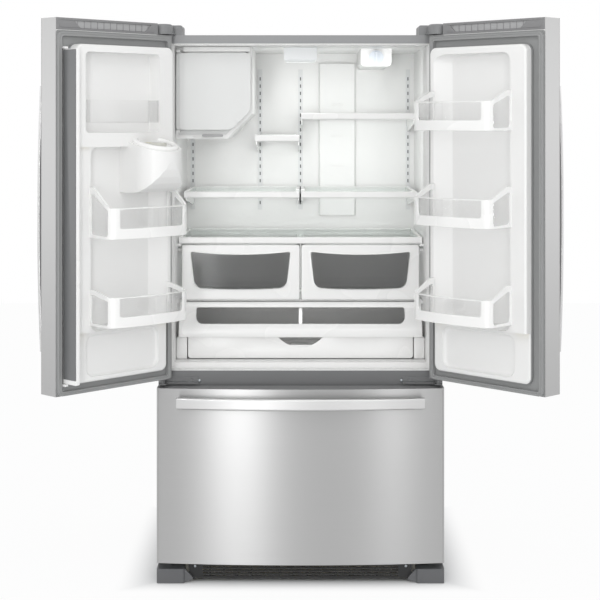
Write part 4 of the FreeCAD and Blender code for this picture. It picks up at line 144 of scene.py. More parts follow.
# %% Etched ABS and gloss ABS
def etched_plastic(name, colour, roughness, grain, depth):
    """Moulded plastic with an even etched grain, drawn a little coarser than real so that it shows."""
    made, tree, bsdf = new_material(name, Base_Color=linear(colour), Roughness=roughness, IOR=1.53)
    cells = add_node(tree, "ShaderNodeTexVoronoi", {"Vector": place(tree), "Scale": 1 / grain})
    patch = add_node(tree, "ShaderNodeTexNoise", {"Vector": place(tree), "Scale": 1 / (40 * MM)})
    worn = add_node(tree, "ShaderNodeMapRange", {"Value": patch.outputs["Fac"], "To Min": roughness - 0.06,
                                                 "To Max": roughness + 0.08})
    bump = add_node(tree, "ShaderNodeBump", {"Height": cells.outputs["Distance"], "Strength": depth,
                                             "Distance": 0.3 * MM})
    tree.links.new(worn.outputs["Result"], bsdf.inputs["Roughness"])
    tree.links.new(bump.outputs["Normal"], bsdf.inputs["Normal"])
    return made


cap_grey = etched_plastic("etched abs dark grey", "828283", 0.46, 1.2 * MM, 0.12)
panel_grey = etched_plastic("etched abs pale grey", "A2A2A3", 0.46, 1.2 * MM, 0.12)
cover_grey = etched_plastic("etched abs mid grey", "7E7F80", 0.42, 1.0 * MM, 0.10)
grille_black = etched_plastic("etched abs black", "141516", 0.5, 1.0 * MM, 0.03)
gloss_black = etched_plastic("gloss abs black", "141517", 0.14, 3 * MM, 0.02)
foot_grey = etched_plastic("etched abs foot grey", "5C5D5F", 0.45, 1.0 * MM, 0.10)
paddle_grey = etched_plastic("etched abs paddle grey", "54585B", 0.4, 0.9 * MM, 0.1)
filter_white = etched_plastic("moulded filter casing", "D5DBE2", 0.35, 1.4 * MM, 0.05)
valve_white = etched_plastic("glass filled nylon", "CFCFC8", 0.55, 0.9 * MM, 0.15)
foot_black = etched_plastic("nylon foot", "26272A", 0.5, 1.0 * MM, 0.12)
print("dark plastics ready")

# %% [markdown]
# ## Brushed stainless steel
#
# The doors and the drawer are ferritic stainless sheet, brushed from side to side with a belt
# and given a clear anti-fingerprint coat. Each scratch is a shallow groove along the belt, so
# the noise is stretched: short from groove to groove (up the door) and long across it. Grooves
# are about 0.05 mm apart on the real sheet; these are drawn about 1 mm apart so that they show.

# %% Brushed steel
def brushed_steel(name, colour, roughness, pitch, length, depth, anisotropy):
    """Sheet steel whose grooves run level: noise with a short period up Z and a long one along X and Y."""
    made, tree, bsdf = new_material(name, Base_Color=linear(colour), Metallic=1.0, Roughness=roughness,
                                    Anisotropic=anisotropy, Anisotropic_Rotation=0.25)
    stretch = (1 / length, 1 / length, 1 / pitch)
    grooves = add_node(tree, "ShaderNodeTexNoise", {"Vector": place(tree, stretch), "Scale": 1.0,
                                                    "Detail": 4.0, "Roughness": 0.65})
    tone = add_node(tree, "ShaderNodeMapRange", {"Value": grooves.outputs["Fac"], "From Min": 0.3,
                                                 "From Max": 0.7, "To Min": 0.98, "To Max": 1.015})
    tint = add_node(tree, "ShaderNodeMix", {"A": linear(colour), "Factor": 1.0}, data_type="RGBA",
                    blend_type="MULTIPLY")
    tree.links.new(tone.outputs["Result"], tint.inputs["B"])
    rough = add_node(tree, "ShaderNodeMapRange", {"Value": grooves.outputs["Fac"], "From Min": 0.3,
                                                  "From Max": 0.7, "To Min": roughness - 0.03,
                                                  "To Max": roughness + 0.03})
    bump = add_node(tree, "ShaderNodeBump", {"Height": grooves.outputs["Fac"], "Strength": depth,
                                             "Distance": 0.05 * MM})
    tree.links.new(tint.outputs["Result"], bsdf.inputs["Base Color"])
    tree.links.new(rough.outputs["Result"], bsdf.inputs["Roughness"])
    tree.links.new(bump.outputs["Normal"], bsdf.inputs["Normal"])
    return made


door_steel = brushed_steel("brushed stainless sheet", "ADADAD", 0.32, 1.0 * MM, 260 * MM, 0.07, 0.9)
handle_steel = brushed_steel("satin stainless bar", "C8C8C8", 0.34, 0.8 * MM, 120 * MM, 0.05, 0.5)
print("stainless ready")

# %% [markdown]
# ## Painted, plated and bare metals
#
# The cabinet's sides are pre-painted steel with a pebble texture. The rail between the two
# compartments is smooth satin paint. Base channels and slides are galvanised: zinc crystals
# give a patchwork of slightly different greys. The compressor and condenser are black enamel.

# %% Painted and plated metals
def painted_metal(name, colour, roughness, pebble, depth):
    """Stoved paint on sheet steel with a pebble texture of a given size."""
    made, tree, bsdf = new_material(name, Base_Color=linear(colour), Roughness=roughness, IOR=1.5,
                                    Coat_Weight=0.1, Coat_Roughness=0.3)
    grain = add_node(tree, "ShaderNodeTexVoronoi", {"Vector": place(tree), "Scale": 1 / pebble},
                     feature="SMOOTH_F1")
    bump = add_node(tree, "ShaderNodeBump", {"Height": grain.outputs["Distance"], "Strength": depth,
                                             "Distance": 0.4 * MM})
    drift = add_node(tree, "ShaderNodeTexNoise", {"Vector": place(tree), "Scale": 1 / (120 * MM)})
    sheen = add_node(tree, "ShaderNodeMapRange", {"Value": drift.outputs["Fac"], "To Min": roughness - 0.05,
                                                  "To Max": roughness + 0.05})
    tree.links.new(sheen.outputs["Result"], bsdf.inputs["Roughness"])
    tree.links.new(bump.outputs["Normal"], bsdf.inputs["Normal"])
    return made


def plated_metal(name, colour, roughness, crystal, contrast):
    """Zinc or mill-finish metal: a mosaic of crystals that differ a little in tone."""
    made, tree, bsdf = new_material(name, Base_Color=linear(colour), Metallic=1.0, Roughness=roughness)
    mosaic = add_node(tree, "ShaderNodeTexVoronoi", {"Vector": place(tree), "Scale": 1 / crystal})
    tone = add_node(tree, "ShaderNodeMapRange", {"Value": mosaic.outputs["Color"], "To Min": 1 - contrast,
                                                 "To Max": 1 + contrast})
    tint = add_node(tree, "ShaderNodeMix", {"A": linear(colour), "Factor": 1.0}, data_type="RGBA",
                    blend_type="MULTIPLY")
    tree.links.new(tone.outputs["Result"], tint.inputs["B"])
    rough = add_node(tree, "ShaderNodeMapRange", {"Value": mosaic.outputs["Color"],
                                                  "To Min": roughness - 0.08, "To Max": roughness + 0.08})
    tree.links.new(tint.outputs["Result"], bsdf.inputs["Base Color"])
    tree.links.new(rough.outputs["Result"], bsdf.inputs["Roughness"])
    return made


side_paint = painted_metal("pebble painted steel grey", "8B8C8D", 0.42, 1.8 * MM, 0.25)
rail_paint = painted_metal("smooth painted steel grey", "6A6B6C", 0.36, 3 * MM, 0.05)
hinge_paint = painted_metal("painted hinge steel", "6E6F70", 0.4, 1.5 * MM, 0.08)
track_paint = painted_metal("powder coated steel white", "DEDFDF", 0.4, 1.2 * MM, 0.12)
black_enamel = painted_metal("stoved black enamel", "17181A", 0.3, 2 * MM, 0.1)
zinc = plated_metal("galvanised steel", "A9AEB1", 0.38, 9 * MM, 0.14)
aluminium = plated_metal("mill finish aluminium", "C4C7CA", 0.32, 14 * MM, 0.06)
mullion_paint = painted_metal("painted mullion steel", "6D6E6F", 0.34, 2.2 * MM, 0.05)
print("metals ready")

# %% [markdown]
# ## Clear pieces, foam and rubber
#
# Shelves are tempered soda-lime glass with a green edge. Bins and drawer windows are clear
# polystyrene, thin and faintly blue where it is thick. The gasket is soft grey PVC. The foam is
# polyurethane, poured and expanded, and shows only where a skin is open.

# %% Glass, clear plastic, rubber and foam
def clear_material(name, colour, ior, roughness, alpha_mix):
    """A thin clear wall: mostly plain see-through, with the gloss of the real surface over it."""
    made, tree, bsdf = new_material(name, Base_Color=linear(colour), Roughness=roughness, IOR=ior,
                                    Transmission_Weight=1.0)
    ripple = add_node(tree, "ShaderNodeTexNoise", {"Vector": place(tree), "Scale": 1 / (60 * MM)})
    bump = add_node(tree, "ShaderNodeBump", {"Height": ripple.outputs["Fac"], "Strength": 0.05,
                                             "Distance": 1 * MM})
    tree.links.new(bump.outputs["Normal"], bsdf.inputs["Normal"])
    through = add_node(tree, "ShaderNodeBsdfTransparent", {"Color": linear(colour)})
    mix = add_node(tree, "ShaderNodeMixShader", {"Fac": alpha_mix, 1: bsdf.outputs[0], 2: through.outputs[0]})
    tree.links.new(mix.outputs[0], tree.nodes["Material Output"].inputs["Surface"])
    return made


def soft_material(name, colour, roughness, grain, depth):
    """Rubber or foam: matt, with a soft uneven grain."""
    made, tree, bsdf = new_material(name, Base_Color=linear(colour), Roughness=roughness, IOR=1.5)
    grains = add_node(tree, "ShaderNodeTexNoise", {"Vector": place(tree), "Scale": 1 / grain, "Detail": 3.0})
    bump = add_node(tree, "ShaderNodeBump", {"Height": grains.outputs["Fac"], "Strength": depth,
                                             "Distance": 0.5 * MM})
    tree.links.new(bump.outputs["Normal"], bsdf.inputs["Normal"])
    return made


shelf_glass = clear_material("tempered glass", "F9FBFA", 1.5, 0.02, 0.8)
clear_plastic = clear_material("clear polystyrene", "FDFDFD", 1.49, 0.05, 0.86)
gasket_rubber = soft_material("soft pvc gasket", "8F9090", 0.55, 3 * MM, 0.1)
foam_fill = soft_material("polyurethane foam", "E3D7AE", 0.85, 2 * MM, 0.5)
frosted = moulded_white("frosted acrylic", "F4F6F7", 0.3, 1 * MM, 50 * MM)
print("clear, rubber and foam ready")

# %% [markdown]
# ## Dress the frame's own pieces
#
# Most solids already have the right shape, so they only take a finish. Each line below names a
# finish and the pieces that are made of it.

# %% Finishes of the frame's pieces
FINISHES = [
    (side_paint, "cabinet_shell"),
    (zinc, "rear_panels base_frame freezer_rails freezer_slides"),
    (liner_white, "fridge_liner freezer_liner duct_covers left_door_liner right_door_liner"
                  " freezer_inner_panel ice_box filter_housing"),
    (frame_white, "shelf_frames pantry_drawer freezer_basket upper_basket"),
    (ice_white, "ice_maker ice_door"),
    (foam_fill, "cabinet_foam left_door_foam right_door_foam freezer_foam"),
    (rail_paint, "center_rail"),
    (grille_black, "kick_grille condenser_fan rear_rollers"),
    (cover_grey, "hinge_covers evaporator_fan"),
    (foot_grey, "foot_covers"),
    (cap_grey, "left_door_caps right_door_caps freezer_caps"),
    (hinge_paint, "door_hinges"),
    (black_enamel, "compressor condenser"),
    (aluminium, "evaporator_coil"),
    (track_paint, "shelf_tracks"),
    (shelf_glass, "shelf_glass"),
    (frosted, "ceiling_light"),
    (valve_white, "water_valve"),
    (door_steel, "left_door_skin right_door_skin freezer_skin"),
    (handle_steel, "left_door_handle right_door_handle freezer_handle"),
    (clear_plastic, "left_door_bins right_door_bins left_crisper right_crisper"),
    (gloss_black, "dispenser_housing"),
    (paddle_grey, "dispenser_paddle"),
    (gasket_rubber, "left_door_gasket right_door_gasket freezer_gasket"),
    (mullion_paint, "mullion"),
    (filter_white, "water_filter"),
    (foot_black, "leveling_foot_left leveling_foot_right"),
]
for finish, names in FINISHES:
    for name in names.split():
        mesh = frame["nodes"][name].data
        mesh.materials.clear()
        mesh.materials.append(finish)
print("dressed:", sum(len(names.split()) for _, names in FINISHES), "nodes")

# %% [markdown]
# ## Surfaces from rings
#
# The clear and moulded pieces are all made one way. A ring is a closed loop of points; a run of
# rings with the same number of points is skinned over, point to point. If the run closes on
# itself the piece is a hoop, like a window frame or a gasket. If not, both ends get a cap.

# %% Skin over a run of rings
def skin(name, rings, finish, body, hoop=False, node=None, slot=None, crease=32):
    """
    Joins rings, an array (rings, points, 3) in millimetres, into one closed surface in metres.
    The faces are turned outwards by the sign of the enclosed volume, sum of p . (q x r) / 6.
    Edges that turn by more than the crease angle stay sharp, all others are shaded smooth.
    """
    rings = np.asarray(rings, float)
    count, size = rings.shape[:2]
    points = rings.reshape(-1, 3) * MM
    row = np.arange(count if hoop else count - 1)[:, None] * size
    step = np.arange(size)[None, :]
    after = (step + 1) % size
    next_row = (row + size) % (count * size)
    quads = np.stack([row + step, row + after, next_row + after, next_row + step], -1).reshape(-1, 4)
    faces = quads.tolist()
    a, b, c, d = (points[quads[:, k]] for k in range(4))
    volume = np.sum(a * np.cross(b, c)) + np.sum(a * np.cross(c, d))
    if not hoop:
        caps = [list(range(size))[::-1], list(range((count - 1) * size, count * size))]
        for cap in caps:
            fan = points[cap]
            volume += np.sum(fan[0] * np.cross(fan[1:-1], fan[2:]))
        faces += caps
    if volume < 0:
        faces = [face[::-1] for face in faces]
    mesh = bpy.data.meshes.new(name)
    mesh.from_pydata(points.tolist(), [], faces)
    mesh.shade_smooth()
    mesh.set_sharp_from_angle(angle=math.radians(crease))
    mesh.materials.append(finish)
    piece = bpy.data.objects.new(name, mesh)
    bpy.context.scene.collection.objects.link(piece)
    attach(piece, body)
    if node:
        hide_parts(node)
    return piece


def rounded_rect(low, high, radius, corner=6, side=8):
    """
    Outline of a rectangle with rounded corners, as (points, 2), from its low and high corners.
    Each corner is a quarter circle of the radius; each side is split evenly, so that outlines
    with the same counts match point to point and can follow a curved face.
    """
    radii = np.broadcast_to(np.asarray(radius, float), 4)
    (x0, y0), (x1, y1) = low, high
    centres = [(x1 - radii[0], y1 - radii[0]), (x0 + radii[1], y1 - radii[1]),
               (x0 + radii[2], y0 + radii[2]), (x1 - radii[3], y0 + radii[3])]
    turns = [np.linspace(k * np.pi / 2, (k + 1) * np.pi / 2, corner) for k in range(4)]
    arcs = [np.stack([cx + r * np.cos(t), cy + r * np.sin(t)], -1)
            for (cx, cy), r, t in zip(centres, radii, turns)]
    parts = []
    for arc, following in zip(arcs, arcs[1:] + arcs[:1]):
        parts.append(arc)
        share = np.linspace(0, 1, side + 2)[1:-1, None]
        parts.append(arc[-1] * (1 - share) + following[0] * share)
    return np.concatenate(parts)


def inset(outline, distance):
    """Moves a closed outline inwards: each point goes along the mean of its neighbours' normals."""
    ahead = np.roll(outline, -1, 0) - outline
    ahead /= np.maximum(np.linalg.norm(ahead, axis=1, keepdims=True), 1e-9)
    mean = ahead + np.roll(ahead, 1, 0)
    mean /= np.maximum(np.linalg.norm(mean, axis=1, keepdims=True), 1e-9)
    share = np.maximum(np.sum(mean * ahead, 1, keepdims=True), 0.5)
    return outline + np.stack([-mean[:, 1], mean[:, 0]], -1) * distance / share


def layers(outline, depths, edge=0.0, turns=3):
    """
    (outline, depth) pairs for a slab between two depths, its two rims rounded by quarter circles:
    inset = edge (1 - sin t) at a depth of edge (1 - cos t) from the face.
    """
    near, far = depths
    if not edge:
        return [(outline, near), (outline, far)]
    made = []
    for t in np.linspace(0, np.pi / 2, turns + 1):
        made.append((inset(outline, edge * (1 - math.sin(t))), near + edge * (1 - math.cos(t))))
    return made + [(o, far + near - depth) for o, depth in reversed(made)]


def slab(name, outline, depths, shape, finish, body, edge=0.0, **more):
    """A plate with rounded rims: shape(outline, depth) sets an outline's points in space."""
    rings = [shape(points, depth) for points, depth in layers(outline, depths, edge)]
    return skin(name, rings, finish, body, **more)


def frame_round(name, outer, inner, depths, shape, finish, body, edge=0.0, across=5, **more):
    """
    A frame between an outer and an inner outline, with both pairs of rims rounded. The rings
    between them are mixed in even steps, so that the frame can follow a curved face.
    """
    outside = layers(outer, depths, edge)
    inside = layers(inner, depths, -edge)

    def between(first, second):
        (start, depth), (stop, _) = first, second
        return [(start + (stop - start) * k / (across + 1), depth) for k in range(1, across + 1)]

    run = outside + between(outside[-1], inside[-1]) + inside[::-1] + between(inside[0], outside[0])
    rings = [shape(points, depth) for points, depth in run]
    return skin(name, rings, finish, body, hoop=True, **more)


def upright(points, depth):
    """Outline in X and Z, standing at a depth along Y."""
    return np.stack([points[:, 0], np.full(len(points), float(depth)), points[:, 1]], -1)


def level(points, height):
    """Outline in X and Y, lying at a height along Z."""
    return np.stack([points[:, 0], points[:, 1], np.full(len(points), float(height))], -1)


print("ring tools ready")

# %% [markdown]
# ## A door's own coordinates
#
# The upper doors stand open, so their parts are drawn as the door is drawn: u from the hinged
# edge to the free edge, d from the steel front towards the food, and z up. The joint in the frame
# says where the pin is and how far the door has turned, and that sets them in space.

# %% From a door's own coordinates to the frame
JOINTS = {joint["name"]: joint for joint in frame["joints"]}
PIN_U, PIN_D = 16.7, 27.1


def door_shape(side):
    """
    A function from a door's (u, d, z) in millimetres to frame X, Y, Z in millimetres. With the pin
    at P and the opening angle a: X = Px + u cos a - d sin a, Y = Py + u sin a + d cos a, where u and
    d count from the pin. The right door is the left one's mirror image in X.
    """
    joint = JOINTS[side + "_door_hinge"]
    turn = math.radians(joint["range_deg"][0])
    pin_x, pin_y = -abs(joint["pos_m"][0]) / MM, joint["pos_m"][1] / MM
    mirror = 1 if side == "left" else -1

    def place_point(u, d, z):
        u, d, z = np.broadcast_arrays(np.asarray(u, float) - PIN_U, np.asarray(d, float) - PIN_D,
                                      np.asarray(z, float))
        x = pin_x + u * math.cos(turn) - d * math.sin(turn)
        y = pin_y + u * math.sin(turn) + d * math.cos(turn)
        return np.stack([mirror * x, y, z], -1)

    return place_point


SIDES = ("left", "right")
DOORS = {side: door_shape(side) for side in SIDES}

# %% [markdown]
# ## Door bins
#
# A bin is a clear tub in a white frame. Seen from above it runs out from the door, round a
# corner, across a gently bowed front, and back. The clear wall and its frame follow that same
# path, so the frame is drawn flat, as distance along the path against height, and then wrapped.
# The sides slope down from the door to the front, which leaves the front low to reach over.

# %% Bins
BIN_WALL = 2.4
BIN_FRAME = 4.6
BIN_POST = 27
BAND = 32


class BinPath:
    """The wall line of a bin in plan, as points along its length with outward normals."""

    def __init__(self, span, near, far, corner, bow, count=160):
        """
        Sides: u = +-h. Corners: u = +-(h - r + r sin t), d = far - r + r cos t. Front: d bows by
        bow (1 - (u / h)^2), which is nothing at the sides and the whole bow in the middle.
        """
        half, middle = (span[1] - span[0]) / 2, (span[1] + span[0]) / 2
        side = np.linspace(near, far - corner, 12)[:-1]
        turn = np.linspace(np.pi / 2, 0, 10)
        front = np.linspace(half - corner, -(half - corner), 26)[1:-1]
        u = np.concatenate([np.full(11, half), half - corner + corner * np.sin(turn), front])
        d = np.concatenate([side, far - corner + corner * np.cos(turn), np.full(24, far)])
        d = d + bow * (1 - (u / half) ** 2) * (d > far - corner)
        u, d = np.concatenate([u, -u[20::-1]]), np.concatenate([d, d[20::-1]])
        length = np.concatenate([[0], np.cumsum(np.hypot(np.diff(u), np.diff(d)))])
        self.length = length[-1]
        even = np.linspace(0, self.length, count)
        self.at = even
        self.u, self.d = np.interp(even, length, u), np.interp(even, length, d)
        tangent = np.stack([np.gradient(self.u), np.gradient(self.d)], -1)
        tangent /= np.linalg.norm(tangent, axis=1, keepdims=True)
        self.normal = np.stack([tangent[:, 1], -tangent[:, 0]], -1)
        self.u = self.u + middle
        self.corner_at = far - corner - near + corner * np.pi / 4

    def point(self, along, offset):
        """(u, d) at a distance along the path, moved outwards by an offset."""
        u, d = np.interp(along, self.at, self.u), np.interp(along, self.at, self.d)
        nu, nd = (np.interp(along, self.at, self.normal[:, k]) for k in (0, 1))
        return u + nu * offset, d + nd * offset


def build_bin(name, side, span, depths, heights, corner=22, bow=18.0, node=None, framed=True):
    """A bin's clear tub, and its white side and front frames. Heights are foot, front rim and back rim."""
    near, far = depths
    low, rim, back = heights
    body = side + "_door"
    door = DOORS[side]
    path = BinPath(span, near, far, corner, bow)

    def top(d):
        """The rim's height above the foot: level over the front, sloping up along the sides."""
        return np.interp(d, [near + 18, far - 8], [back, rim])

    def wrap(points, offset):
        """Wraps (distance along the path, height at the front) round the bin; heights grow with the rim."""
        u, d = path.point(points[:, 0], offset)
        _, wall_d = path.point(points[:, 0], 0)
        return door(u, d, low + points[:, 1] / rim * top(wall_d))

    u, d = path.point(path.at, -1.0)
    inner_u, inner_d = path.point(path.at, -1.0 - BIN_WALL)
    height = low + top(path.d) - 1.5
    rings = np.stack([door(u, d, low + 3), door(u, d, height), door(inner_u, inner_d, height),
                      door(inner_u, inner_d, low + 3)], 1)
    wall = skin(name + "_wall", rings, clear_plastic, body, node=node, slot="clear_bin")
    outline = np.stack(path.point(path.at, -1.2), -1)
    floor = slab(name + "_floor", outline, (low, low + 3),
                 lambda points, z: door(points[:, 0], points[:, 1], z),
                 clear_plastic, body, edge=1.0, slot="clear_bin")
    if not framed:
        return [wall, floor]
    end, post = path.length, path.corner_at
    frames = []
    for label, (start, stop), (hole_start, hole_stop), band, bar in (
            ("free_side", (0, post), (6, post - BIN_POST * 0.4), 8, 13),
            ("front", (post - 0.5, end - post + 0.5), (post + BIN_POST, end - post - BIN_POST), BAND, 3.5),
            ("hinge_side", (end - post, end), (end - post + BIN_POST * 0.4, end - 6), 8, 13)):
        inner = rounded_rect((hole_start, band), (hole_stop, rim - bar), (3, 3, 9, 9), 8, 36)
        outer = rounded_rect((start, 2), (stop, rim), 1.2, 8, 36)
        frames.append(frame_round(name + "_" + label, outer, inner, (0.4, -BIN_FRAME), wrap,
                                  frame_white, body, edge=0.8, slot="clear_bin"))
    return [wall, floor] + frames


BIN_SPAN = (51.5, 355.5)
BIN_DEPTHS = (90.0, 190.0)
LEFT_BINS = [("left_low_bin", (845.6, 91, 109)), ("left_mid_bin", (1105.6, 93, 153))]
RIGHT_BINS = [("right_low_bin", (846.6, 82, 121)), ("right_mid_bin", (1136.6, 87, 124)),
              ("right_top_bin", (1424.6, 89, 122))]
bins = []
for side, rows in (("left", LEFT_BINS), ("right", RIGHT_BINS)):
    for index, (name, heights) in enumerate(rows):
        node = side + "_door_bins" if index == 0 else None
        bins += build_bin(name, side, BIN_SPAN, BIN_DEPTHS, heights, node=node)
bins += build_bin("left_top_bin", "left", (100, 370), (58, 118), (1449.6, 70, 70), corner=14, bow=0.1,
                  framed=False)
print("bin pieces:", len(bins))

# %% [markdown]
# ## Crispers
#
# Two crispers hang side by side under a glass cover. Each front is a white moulding with a clear
# window let in from behind; the window's top edge dips in the middle like a smile, its sides lean
# in and its lower corners are well rounded. The tub is clear, with flanges that run on the ledges.

# %% Crispers
def lean(outline, low, high, amount, dip=0.0, sag=0.0):
    """
    Leans an outline's sides in towards the bottom. Its top edge dips and its bottom edge sags by
    (1 - (x / half)^2) of their amounts, fading away from each edge with the fourth power of height.
    """
    middle = (outline[:, 0].min() + outline[:, 0].max()) / 2
    half = (outline[:, 0].max() - outline[:, 0].min()) / 2
    share = (outline[:, 1] - low) / (high - low)
    x = middle + (outline[:, 0] - middle) * (1 - (1 - share) * amount / half)
    bow = 1 - ((outline[:, 0] - middle) / half) ** 2
    z = outline[:, 1] - (dip * share ** 4 + sag * (1 - share) ** 4) * bow
    return np.stack([x, z], -1)


def tub(name, low, high, wall, flange, finish, body, floor_radius=9, corner=14, **more):
    """
    An open tub as one run of rings: inside floor, inside rim, flange, outside wall, outside floor.
    Low and high are opposite corners. The flange stands out along X only, and is 3 mm thick.
    """
    (x0, y0, z0), (x1, y1, z1) = low, high

    def ring(grow_x, grow_y, z, radius=corner):
        return level(rounded_rect((x0 - grow_x, y0 - grow_y), (x1 + grow_x, y1 + grow_y), radius), z)

    rings = []
    for t in np.linspace(0, np.pi / 2, 4):
        sink = floor_radius * (1 - math.sin(t))
        rings.append(ring(-wall - sink, -wall - sink, z0 + wall + floor_radius * (1 - math.cos(t))))
    rings += [ring(-wall, -wall, z1), ring(flange, 0, z1), ring(flange, 0, z1 - 3), ring(0, 0, z1 - 3)]
    for t in np.linspace(np.pi / 2, 0, 4):
        sink = floor_radius * (1 - math.sin(t))
        rings.append(ring(-sink, -sink, z0 + floor_radius * (1 - math.cos(t))))
    return skin(name, rings, finish, body, **more)


CRISPER_X = (3.0, 391.0)
CRISPER_Y = (-15.6, -3.6, 356.4)
CRISPER_Z = (866.0, 1047.0)


def build_crisper(side):
    """A crisper's white front, its clear window and its clear tub."""
    body = side + "_crisper"
    x0, x1 = CRISPER_X if side == "right" else (-CRISPER_X[1], -CRISPER_X[0])
    z0, z1 = CRISPER_Z
    near, face, back = CRISPER_Y
    outer = rounded_rect((x0, z0), (x1, z1), 7)
    low, high = z0 + 40, z1 - 22
    window = lean(rounded_rect((x0 + 30, low), (x1 - 30, high), (8, 8, 24, 24)), low, high, 14, 10, 5)
    pane = lean(rounded_rect((x0 + 26, low - 4), (x1 - 26, high + 4), (8, 8, 24, 24)), low, high, 14, 10, 5)
    front = frame_round(body + "_front", outer, window, (near, face - 1), upright, frame_white, body,
                        edge=3, node=body, slot="clear_crisper")
    clear = slab(body + "_window", pane, (face - 5, face - 2.5), upright, clear_plastic, body,
                 slot="clear_crisper")
    box = tub(body + "_tub", (x0 + 9, face - 0.8, z0), (x1 - 9, back, z1 - 10), 3, 8, clear_plastic, body,
              slot="clear_crisper")
    return [front, clear, box]


crispers = [piece for side in SIDES for piece in build_crisper(side)]
print("crisper pieces:", len(crispers))

# %% [markdown]
# ## Pantry drawer
#
# Below the crispers one wide drawer takes platters. Its front leans out like a chin: a bowed
# white moulding with a long clear strip window, over a recessed pan with a half-moon grip. Under
# the clear strip the two halves of its inner lid meet at a post.

# %% Pantry drawer
PANTRY_Z = (754.0, 860.0)
PANTRY_HALF = 395.0
PAN_HALF = 366.0
PAN_Y = (-69.6, 340.4)
PAN_Z = (683.0, 760.0)
# Depth against height down the front's outer face: one cubic through four places.
PANTRY_CURVE = np.polyfit([860, 838.8, 790, 764], [-23.6, -27.6, -81.6, -91.6], 3)


def pantry_face(points, depth):
    """Sets (x, z) on the pantry's leaning face, y(z) being the cubic, at a depth inside it."""
    y = np.polyval(PANTRY_CURVE, np.maximum(points[:, 1], 764)) + depth
    return np.stack([points[:, 0], y, points[:, 1]], -1)


def pan_front():
    """The pan's front: a rectangle whose top edge has a round notch, z = centre - sqrt(R^2 - x^2)."""
    grip, centre, radius = 96.4, 815.4, 9.0
    chord = math.sqrt(grip ** 2 - (centre - PAN_Z[1]) ** 2)
    x = np.linspace(chord, -chord, 33)
    notch = np.stack([x, centre - np.sqrt(grip ** 2 - x ** 2)], -1)
    turn = np.linspace(np.pi, 1.5 * np.pi, 6)
    foot = np.stack([radius * np.cos(turn), radius * np.sin(turn)], -1)
    left = foot + (-PAN_HALF + radius, PAN_Z[0] + radius)
    right = foot[::-1] * (-1, 1) + (PAN_HALF - radius, PAN_Z[0] + radius)
    return np.concatenate([[[PAN_HALF, PAN_Z[1]]], notch, [[-PAN_HALF, PAN_Z[1]]], left, right])


outer = rounded_rect((-PANTRY_HALF, PANTRY_Z[0]), (PANTRY_HALF, PANTRY_Z[1]), 4, 6, 24)
window = rounded_rect((-341, 795), (341, 843), (6, 6, 22, 22), 6, 24)
pane = rounded_rect((-345, 791), (345, 846), (6, 6, 22, 22), 6, 24)
pantry = [
    frame_round("pantry_front", outer, window, (0, 4.5), pantry_face, frame_white, "pantry_drawer",
                edge=1.5, node="pantry_drawer", slot="pantry_white"),
    slab("pantry_window", pane, (3.2, 4.6), pantry_face, clear_plastic, "pantry_drawer", slot="pantry_white"),
]

def cheek(x):
    """A side of the pantry, from the pan up to the leaning front, with the front's own curve."""
    z = np.linspace(838, 764, 12)
    lean_edge = np.stack([np.polyval(PANTRY_CURVE, z) + 4, z], -1)
    outline = np.concatenate([[[24.4, 756.0], [-10.0, 838.0]], lean_edge, [[-68.6, 756.0]]])
    return [np.stack([np.full(len(outline), at), outline[:, 0], outline[:, 1]], -1) for at in (x - 2, x + 2)]


pantry += [
    slab("pantry_pan_front", pan_front(), (PAN_Y[0], PAN_Y[0] + 3), upright, frame_white, "pantry_drawer",
         edge=0.8, slot="pantry_white"),
    skin("pantry_foot", [[(x, -91.6, 764), (x, -88, 756), (x, -85.6, 754), (x, -66, 754), (x, -66, 762),
                          (x, -87, 764.5)] for x in np.linspace(-PANTRY_HALF, PANTRY_HALF, 3)],
         frame_white, "pantry_drawer", slot="pantry_white", crease=50),
]
for name, side in (("left", -1), ("right", 1)):
    pantry.append(skin("pantry_cheek_" + name, cheek(side * (PAN_HALF - 2)), frame_white, "pantry_drawer",
                       slot="pantry_white"))
pantry.append(tub("pantry_pan", (-PAN_HALF, PAN_Y[0] + 2.5, PAN_Z[0]), (PAN_HALF, PAN_Y[1], PAN_Z[1] - 34),
                  3, 0, frame_white, "pantry_drawer", slot="pantry_white"))
for name, side in (("left", -1), ("right", 1)):
    low_x, high_x = sorted((side * (PAN_HALF - 3), side * PAN_HALF))
    wall = rounded_rect((PAN_Y[0] + 2, PAN_Z[1] - 36), (PAN_Y[1], PAN_Z[1]), 1, 3, 4)
    rings = [np.stack([np.full(len(wall), x), wall[:, 0], wall[:, 1]], -1) for x in (low_x, high_x)]
    pantry.append(skin("pantry_side_" + name, rings, frame_white, "pantry_drawer", slot="pantry_white"))
    rail_low, rail_high = sorted((side * (PAN_HALF - 1), side * (PAN_HALF + 26)))
    rail = rounded_rect((rail_low, PAN_Y[0] + 30), (rail_high, PAN_Y[1]), 3, 3, 4)
    pantry.append(slab("pantry_rail_" + name, rail, (PAN_Z[1] - 4, PAN_Z[1]), level, frame_white,
                       "pantry_drawer", edge=0.8, slot="pantry_white"))
    lid_low, lid_high = sorted((side * 4, side * 336))
    lid = rounded_rect((lid_low, -24), (lid_high, 330), 12, 6, 6)
    pantry.append(slab("pantry_lid_" + name, lid, (840, 842.5), level, clear_plastic, "pantry_drawer",
                       edge=1, slot="pantry_white"))
post = rounded_rect((-6, -22), (6, 10), 3, 5, 3)
pantry.append(slab("pantry_post", post, (764, 842), level, frame_white, "pantry_drawer", edge=1,
                   slot="pantry_white"))
for name, side in (("left", -1), ("right", 1)):
    low_x, high_x = sorted((side * (PAN_HALF + 3), side * 404.0))
    block = rounded_rect((low_x, PAN_Z[0] - 2), (high_x, PAN_Z[1] - 8), 4, 5, 4)
    slab("pan_guide_" + name, block, (-71.0, 120.0), upright, liner_white, "cabinet", edge=2.5,
         slot="white_liner")
print("pantry pieces:", len(pantry))

